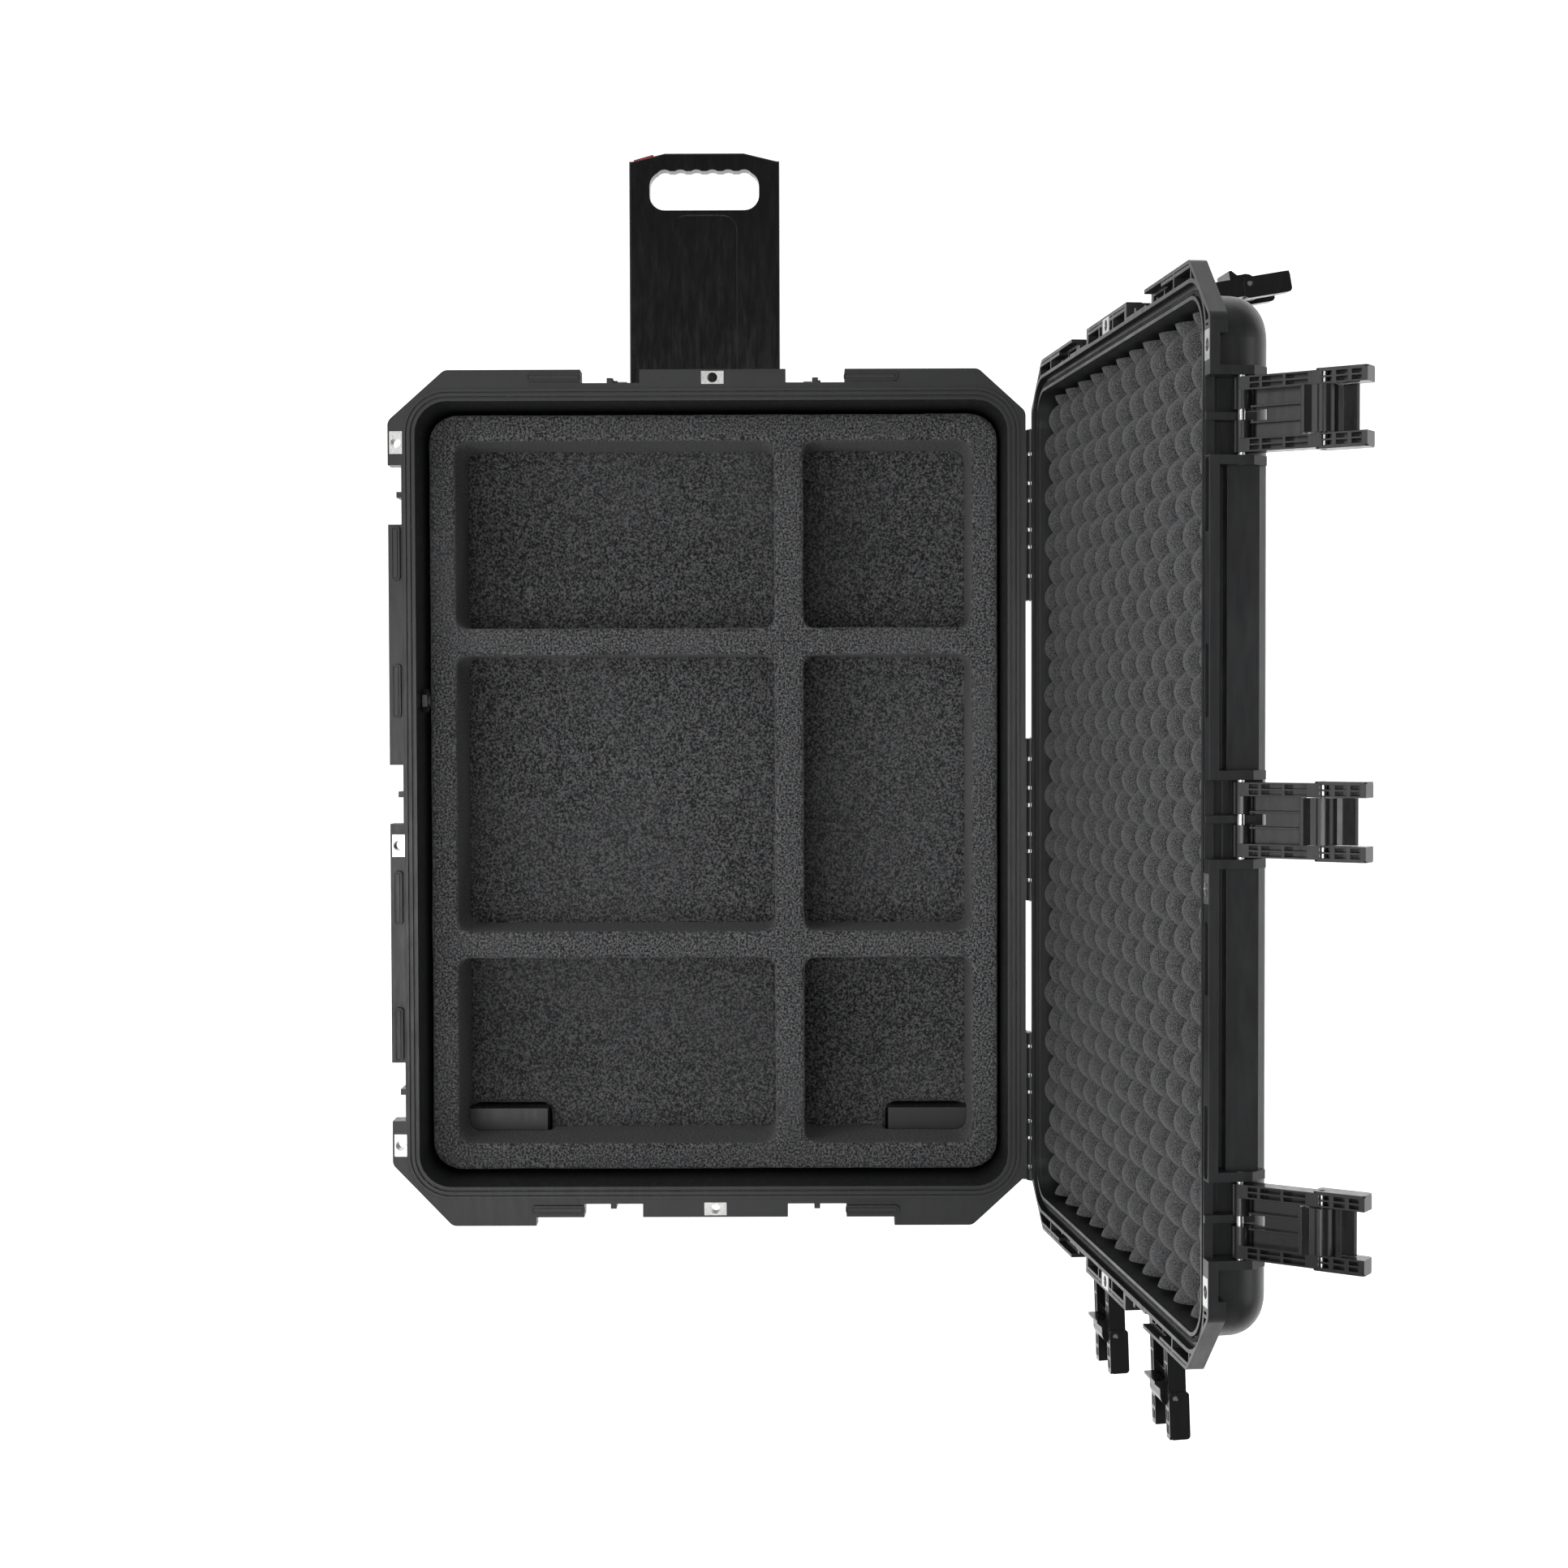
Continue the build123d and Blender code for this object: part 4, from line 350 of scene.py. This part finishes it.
@dataclass(frozen=True)
class PaleStage:
    """Plain pale floor, lit a little from within so that its tone stays even."""

    name: str
    tone: float
    glow: float

    def build(self) -> bpy.types.Material:
        """Make the material."""
        sheet = NodeSheet(self.name)
        mottle = sheet.spread(sheet.noise(1.2, 2.0), 0.3, 0.7, 0.0, 1.0)
        tone = (self.tone,) * 3
        colour = sheet.mixed(mottle, tone, tuple(0.985 * part for part in tone))
        rough = sheet.spread(mottle, 0.0, 1.0, 0.78, 0.85)
        material = sheet.finish(colour, rough, sheet.bump(mottle, 0.00002, 0.2),
                                Specular_IOR_Level=0.1, Emission_Strength=self.glow)
        sheet.shader.inputs["Emission Color"].default_value = (1, 1, 1, 1)
        return material


class Finish(Enum):
    """Every finish on the case."""

    SHELL = MouldedPlastic("shell_black_satin", (0.012, 0.0125, 0.0135),
                           (0.035, 0.036, 0.038), 0.36, edge_radius=0.0005)
    LATCH = MouldedPlastic("latch_black_gloss", (0.006, 0.0062, 0.0065), (0.03, 0.03, 0.032), 0.20,
                           grain_depth=0.00003, edge_radius=0.0004)
    HANDLE = MouldedPlastic("handle_black_gloss", (0.004, 0.004, 0.0043), (0.02, 0.02, 0.02), 0.15,
                            grain_depth=0.00002, edge_radius=0.0006)
    BUTTON = MouldedPlastic("button_red_gloss", (0.42, 0.012, 0.012), (0.75, 0.20, 0.18), 0.26,
                            grain_depth=0.00002)
    HUB = MouldedPlastic("hub_dark_nylon", (0.03, 0.031, 0.033), (0.11, 0.11, 0.11), 0.45)
    VALVE = MouldedPlastic("valve_black_satin", (0.015, 0.015, 0.016), (0.10, 0.10, 0.10), 0.38)
    FOAM = CellFoam("foam_charcoal", (0.010, 0.0101, 0.0106), (0.215, 0.217, 0.224))
    CRATE_FOAM = CellFoam("foam_charcoal_egg_crate", (0.012, 0.012, 0.0125), (0.150, 0.151, 0.157),
                          crumb=1100.0, depth=0.0005)
    STEEL = BrushedSteel("steel_plate", (0.62, 0.62, 0.61), 0.30)
    PIN = BrushedSteel("steel_pin", (0.68, 0.68, 0.67), 0.20)
    SEAL = SoftRubber("seal_black_sponge", (0.012, 0.012, 0.012), (0.04, 0.04, 0.04), 0.8)
    GRIP = SoftRubber("grip_black_rubber", (0.016, 0.016, 0.0165), (0.055, 0.055, 0.055), 0.66)
    TYRE = SoftRubber("tyre_black_urethane", (0.02, 0.02, 0.02), (0.09, 0.088, 0.084), 0.6)
    FLOOR = PaleStage("floor_pale", 0.9, 0.80)


class Finishes:
    """Materials already built, one per finish."""

    _built: dict[Finish, bpy.types.Material] = {}

    @classmethod
    def get(cls, finish: Finish) -> bpy.types.Material:
        """Build a finish's material the first time it is asked for."""
        if finish not in cls._built:
            cls._built[finish] = finish.value.build()
        return cls._built[finish]


# ---------------------------------------------------------------------------- mesh helpers
def new_piece(name: str, mesh: bmesh.types.BMesh, finish: Finish,
              smooth: bool = True) -> bpy.types.Object:
    """Turn a bmesh into an object with one material.

    Args:
        name: Object name.
        mesh: The shape, in the row frame. It is freed.
        finish: Its finish.
        smooth: Whether its faces shade smoothly.

    Returns:
        The new object.
    """
    data = bpy.data.meshes.new(name)
    mesh.to_mesh(data)
    mesh.free()
    for polygon in data.polygons:
        polygon.use_smooth = smooth
    data.materials.append(Finishes.get(finish))
    piece = bpy.data.objects.new(name, data)
    bpy.context.scene.collection.objects.link(piece)
    return piece


def applied(piece: bpy.types.Object) -> None:
    """Put the result of a piece's modifiers into its mesh and clear them."""
    depsgraph = bpy.context.evaluated_depsgraph_get()
    baked = bpy.data.meshes.new_from_object(piece.evaluated_get(depsgraph))
    piece.modifiers.clear()
    piece.data = baked


def merged_copy(node: str) -> bmesh.types.BMesh:
    """Copy a node's triangles into a bmesh with their shared corners merged."""
    mesh = bmesh.new()
    mesh.from_mesh(frame["nodes"][node].data)
    bmesh.ops.remove_doubles(mesh, verts=mesh.verts, dist=0.00002)
    return mesh


def turned(profile: Profile, centre: Vector, axis: Vector, steps: int) -> bmesh.types.BMesh:
    """Spin a closed profile round an axis.

    Args:
        profile: Points as (distance along the axis, radius).
        centre: Point on the axis where the distance is 0.
        axis: Direction of the axis.
        steps: Faces round the circle.

    Returns:
        The closed ring.
    """
    mesh = bmesh.new()
    across = axis.orthogonal().normalized()
    points = [mesh.verts.new(centre + axis * along + across * radius) for along, radius in profile]
    edges = [mesh.edges.new((points[i - 1], points[i])) for i in range(len(points))]
    bmesh.ops.spin(mesh, geom=points + edges, cent=centre, axis=axis, dvec=(0, 0, 0),
                   angle=math.tau, steps=steps, use_merge=True)
    bmesh.ops.remove_doubles(mesh, verts=mesh.verts, dist=0.00001)
    bmesh.ops.recalc_face_normals(mesh, faces=mesh.faces)
    return mesh


def middle(node: str) -> Vector:
    """Give the middle of a node's box."""
    low, high = (Vector(corner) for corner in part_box(node))
    return (low + high) / 2


# ---------------------------------------------------------------------------- the case
@dataclass
class PocketFoam:
    """Foam in the base: the block with six cut pockets on its floor pad."""

    voxel: float = 0.0040
    smoothing: int = 2
    ripple: float = 0.0005
    ripple_scale: float = 24.0
    fine_ripple_scale: float = 90.0
    floor_coarser: float = 1.25

    def soft_copy(self, node: str, name: str, voxel: float) -> bpy.types.Object:
        """Make a soft-edged foam piece from a node's plain solid.

        Args:
            node: The plain solid.
            name: Name of the piece.
            voxel: Size of its mesh.

        Returns:
            The piece, with its cut edges rounded and a little uneven.
        """
        piece = new_piece(name, merged_copy(node), Finish.FOAM)
        remesh = piece.modifiers.new("even_mesh", "REMESH")
        remesh.mode = "VOXEL"
        remesh.voxel_size = voxel
        soften = piece.modifiers.new("soft_edges", "SMOOTH")
        soften.factor = 0.5
        soften.iterations = self.smoothing
        applied(piece)
        normals = [vertex.normal.copy() for vertex in piece.data.vertices]
        for vertex, normal in zip(piece.data.vertices, normals):
            broad = noise.noise(vertex.co * self.ripple_scale)
            lift = broad + 0.5 * noise.noise(vertex.co * self.fine_ripple_scale)
            vertex.co += normal * self.ripple * lift
        piece.data.materials.clear()
        piece.data.materials.append(Finishes.get(Finish.FOAM))
        for polygon in piece.data.polygons:
            polygon.use_smooth = True
        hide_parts(node)
        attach(piece, "base")
        return piece

    def build(self) -> list[bpy.types.Object]:
        """Make the pocket block and the floor pad."""
        return [
            self.soft_copy("foam_pocket_block", "foam_pockets", self.voxel),
            self.soft_copy("foam_floor_pad", "foam_floor", self.voxel * self.floor_coarser),
        ]


@dataclass
class EggCrateFoam:
    """Convoluted foam that lines the lid, with staggered round domes."""

    pitch: float = 0.0455
    relief: float = 0.026
    cells_per_pitch: int = 15
    dome: float = 0.0205
    fullness: float = 0.6
    unevenness: float = 0.0012
    unevenness_scale: float = 30.0
    corner: float = 0.030
    length: float = 0.722
    width: float = 0.544
    recess: float = 0.007
    back: float = 0.044
    rim_height: float = 0.213

    def to_lid(self) -> Matrix:
        """Give the matrix from the closed lid's own axes to its open place at rest."""
        hinge = next(joint for joint in frame["joints"] if joint["name"] == "lid_hinge")
        pivot = Vector(hinge["pos_m"])
        swing = Matrix.Rotation(math.radians(hinge["range_deg"][0]), 4, "X")
        rim = Matrix.Translation((0, 0, self.rim_height))
        return Matrix.Translation(pivot) @ swing @ Matrix.Translation(-pivot) @ rim

    def height(self, x: float, y: float) -> float:
        """Give how far the surface lies behind the tips of the peaks.

        Args:
            x: Place along the lid.
            y: Place across the lid.

        Returns:
            The depth.
        """
        half = self.pitch / 2
        row = round((y + x) / self.pitch)
        column = round((y - x) / self.pitch)
        away = math.hypot(x - (row - column) * half, y - (row + column) * half)
        lobe = max(0.0, 1 - (away / self.dome) ** 2) ** self.fullness
        spot = Vector((x * self.unevenness_scale, y * self.unevenness_scale, 0.3))
        uneven = self.unevenness * (1 + noise.noise(spot))
        return self.relief * (1 - lobe) + uneven

    def rounded(self, point: Vector) -> None:
        """Draw a point of the grid in to the rounded corners of the sheet."""
        inner_x = self.length / 2 - self.corner
        inner_y = self.width / 2 - self.corner
        out = Vector((max(abs(point.x) - inner_x, 0), max(abs(point.y) - inner_y, 0)))
        if out.x and out.y:
            out *= max(out.x, out.y) / out.length
            point.x = math.copysign(inner_x + out.x, point.x)
            point.y = math.copysign(inner_y + out.y, point.y)

    def build(self) -> bpy.types.Object:
        """Make the sheet of foam and put it in the lid."""
        steps_x = round(self.length / self.pitch * self.cells_per_pitch)
        steps_y = round(self.width / self.pitch * self.cells_per_pitch)
        mesh = bmesh.new()
        bmesh.ops.create_grid(mesh, x_segments=steps_x, y_segments=steps_y, size=0.5)
        bmesh.ops.scale(mesh, vec=(self.length, self.width, 1), verts=mesh.verts)
        rim = [edge for edge in mesh.edges if edge.is_boundary]
        for vertex in mesh.verts:
            self.rounded(vertex.co)
            vertex.co.z = self.recess + self.height(vertex.co.x, vertex.co.y)
        sides = bmesh.ops.extrude_edge_only(mesh, edges=rim)["geom"]
        lower = [item for item in sides if isinstance(item, bmesh.types.BMVert)]
        for vertex in lower:
            vertex.co.z = self.back
        back_edges = [e for e in sides if isinstance(e, bmesh.types.BMEdge) and e.is_boundary]
        bmesh.ops.contextual_create(mesh, geom=back_edges)
        bmesh.ops.recalc_face_normals(mesh, faces=mesh.faces)
        bmesh.ops.transform(mesh, matrix=self.to_lid(), verts=mesh.verts)
        piece = new_piece("foam_egg_crate", mesh, Finish.CRATE_FOAM)
        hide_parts("lid_foam")
        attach(piece, "lid")
        return piece


@dataclass
class CarryGrip:
    """Soft ribbed sleeve on the bar of a carry handle."""

    place: str
    ribs: int = 11
    radius: float = 0.0115
    waist: float = 0.0009
    groove: float = 0.0009
    bore: float = 0.0071
    round_end: float = 0.0035
    inset: float = 0.0004
    swell_share: float = 0.4

    def profile(self, length: float) -> list[tuple[float, float]]:
        """Draw half the sleeve's section.

        Args:
            length: Length of the sleeve.

        Returns:
            Points as (distance along, radius), round the section.
        """
        half = length / 2
        points = [(-half, self.bore), (-half, self.radius - self.round_end)]
        points.append((-half + self.round_end * 0.3, self.radius - self.round_end * 0.3))
        steps = self.ribs * 6
        for step in range(steps + 1):
            along = -half + self.round_end + (length - 2 * self.round_end) * step / steps
            rib = math.cos(math.tau * self.ribs * step / steps)
            swell = self.swell_share * self.waist * math.cos(math.pi * along / length)
            cut = self.groove * (0.5 + 0.5 * rib) ** 2 + self.inset
            points.append((along, self.radius - cut + swell))
        points.append((half - self.round_end * 0.3, self.radius - self.round_end * 0.3))
        points += [(half, self.radius - self.round_end), (half, self.bore)]
        return points

    def build(self) -> bpy.types.Object:
        """Make the sleeve round its bar."""
        node = f"carry_grip_{self.place}"
        low, high = (Vector(corner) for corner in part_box(node))
        size = high - low
        axis = Vector((1, 0, 0)) if size.x > size.y else Vector((0, 1, 0))
        mesh = turned(self.profile(max(size.x, size.y)), middle(node), axis, 40)
        piece = new_piece(f"grip_sleeve_{self.place}", mesh, Finish.GRIP)
        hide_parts(node)
        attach(piece, f"carry_{self.place}")
        return piece


@dataclass
class Tyre:
    """Solid tyre of a wheel, with rounded shoulders and shallow tread grooves."""

    place: str
    groove: float = 0.0012
    grooves: int = 5
    inner: float = 0.02505
    shoulder: float = 0.005

    def build(self) -> bpy.types.Object:
        """Make the tyre on its hub."""
        node = f"wheel_tyre_{self.place}"
        low, high = (Vector(corner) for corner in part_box(node))
        radius = (high.z - low.z) / 2
        half = (high.y - low.y) / 2
        points = [(-half, self.inner)]
        for step in range(5):
            turn = math.pi / 2 * step / 4
            points.append((-half + self.shoulder * (1 - math.sin(turn)),
                           radius - self.shoulder * (1 - math.cos(turn))))
        points = points[:1] + points[1:][::-1]
        flat = 2 * (half - self.shoulder)
        steps = self.grooves * 8
        for step in range(1, steps):
            wave = math.cos(math.tau * self.grooves * step / steps)
            cut = self.groove if wave < -0.75 else 0.0
            points.append((-half + self.shoulder + flat * step / steps, radius - cut))
        mirror = [(-along, out) for along, out in points[:6]][::-1]
        mesh = turned(points + mirror, middle(node), Vector((0, 1, 0)), 72)
        piece = new_piece(f"tyre_{self.place}", mesh, Finish.TYRE, smooth=False)
        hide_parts(node)
        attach(piece, f"wheel_{self.place}")
        return piece


@dataclass
class HardParts:
    """Parts that keep their own shape and only get a finish."""

    shells: tuple[str, ...] = ("base_shell", "lid_shell", "handle_channel_cover")

    def finish_of(self, node: str) -> Finish:
        """Choose the finish of a part by its name.

        Args:
            node: The part.

        Returns:
            Its finish.
        """
        rules: tuple[tuple[str, Finish], ...] = (
            ("trigger_pin_", Finish.PIN), ("lever_", Finish.LATCH), ("trigger_", Finish.LATCH),
            ("pull_handle", Finish.HANDLE), ("handle_button", Finish.BUTTON),
            ("lock_bolt", Finish.HANDLE), ("carry_bail", Finish.LATCH), ("carry_grip", Finish.GRIP),
            ("wheel_tyre", Finish.TYRE), ("wheel_hub", Finish.HUB),
            ("wheel_bearings", Finish.STEEL),
            ("valve_gasket", Finish.SEAL), ("valve_", Finish.VALVE), ("lid_seal", Finish.SEAL),
            ("foam_", Finish.FOAM), ("lid_foam", Finish.CRATE_FOAM), ("hinge_pins", Finish.PIN),
            ("latch_pivot_pins", Finish.PIN), ("base_padlock", Finish.STEEL),
            ("lid_padlock", Finish.STEEL),
        )
        if node in self.shells:
            return Finish.SHELL
        return next((finish for start, finish in rules if node.startswith(start)), Finish.PIN)

    def dress(self) -> int:
        """Give every part its finish and say how many there are."""
        for name, part in frame["nodes"].items():
            part.data.materials.clear()
            part.data.materials.append(Finishes.get(self.finish_of(name)))
        return len(frame["nodes"])


# ---------------------------------------------------------------------------- studio
@dataclass
class Studio:
    """Pale floor, soft boxes round the case and the camera above it."""

    floor_half: float = 30.0
    sky: float = 0.16
    boxes: tuple[tuple[str, Colour, tuple[float, float], float], ...] = (
        ("soft_box_overhead", (0.2, -0.3, 3.3), (1.0, 1.6), 26.0),
        ("soft_box_front", (-0.3, -1.9, 3.0), (2.6, 1.6), 26.0),
        ("soft_box_hinge_side", (0.2, 3.0, 2.2), (2.6, 1.8), 22.0),
        ("soft_box_handle_end", (-3.0, -0.2, 2.2), (2.2, 1.6), 20.0),
        ("soft_box_wheel_end", (3.0, -0.2, 2.2), (2.2, 1.6), 26.0),
    )
    camera_place: Colour = (-0.07550, 0.07452, 2.50390)
    camera_tilt: Colour = (0.02849, -0.00329, 0.00293)
    lens: float = 56.374
    film: float = 36.0

    def add_floor(self) -> None:
        """Lay the floor just under the case."""
        mesh = bmesh.new()
        bmesh.ops.create_grid(mesh, x_segments=1, y_segments=1, size=self.floor_half)
        bmesh.ops.translate(mesh, vec=(0, 0, -0.0005), verts=mesh.verts)
        new_piece("studio_floor", mesh, Finish.FLOOR, smooth=False)

    def add_lights(self) -> None:
        """Hang the soft boxes, each aimed at the middle of the case."""
        for name, place, (width, height), power in self.boxes:
            lamp = bpy.data.lights.new(name, "AREA")
            lamp.shape = "RECTANGLE"
            lamp.size, lamp.size_y = width, height
            lamp.energy = power
            box = bpy.data.objects.new(name, lamp)
            box.location = place
            aim = Vector((0, 0, 0.2)) - Vector(place)
            box.rotation_euler = aim.to_track_quat("-Z", "Y").to_euler()
            bpy.context.scene.collection.objects.link(box)
        world = bpy.data.worlds.new("studio_air")
        world.use_nodes = True
        world.node_tree.nodes["Background"].inputs["Color"].default_value = (1, 1, 1, 1)
        world.node_tree.nodes["Background"].inputs["Strength"].default_value = self.sky
        bpy.context.scene.world = world

    def add_camera(self) -> None:
        """Set the camera above the case, looking down with the handle end at the top."""
        lens = bpy.data.cameras.new("camera")
        lens.lens = self.lens
        lens.sensor_width = self.film
        lens.clip_end = 50.0
        camera = bpy.data.objects.new("camera", lens)
        up_is_handle_end = Matrix(((0, -1, 0), (1, 0, 0), (0, 0, 1)))
        turn = up_is_handle_end @ Euler(self.camera_tilt, "XYZ").to_matrix().transposed()
        camera.matrix_world = Matrix.Translation(self.camera_place) @ turn.to_4x4()
        bpy.context.scene.collection.objects.link(camera)
        bpy.context.scene.camera = camera

    def set_tone(self) -> None:
        """Keep blacks deep and the pale floor close to white."""
        bpy.context.scene.view_settings.view_transform = "Standard"

    def build(self) -> None:
        """Set up the camera, the floor and the lights."""
        self.set_tone()
        self.add_camera()
        self.add_floor()
        self.add_lights()


def report(pieces: Iterable[bpy.types.Object]) -> None:
    """Log each piece with its number of faces."""
    for piece in pieces:
        LOG.info("%s: %d faces", piece.name, len(piece.data.polygons))


def main() -> None:
    """Build the studio, dress the hard parts and make the soft ones."""
    logging.basicConfig(level=logging.INFO, format="%(name)s %(message)s")
    Studio().build()
    LOG.info("%d hard parts dressed", HardParts().dress())
    report(PocketFoam().build())
    report([EggCrateFoam().build()])
    report(CarryGrip(place).build() for place in ("front_left", "front_right", "handle_end"))
    report(Tyre(place).build() for place in ("front", "rear"))


if __name__ == "__main__":
    main()
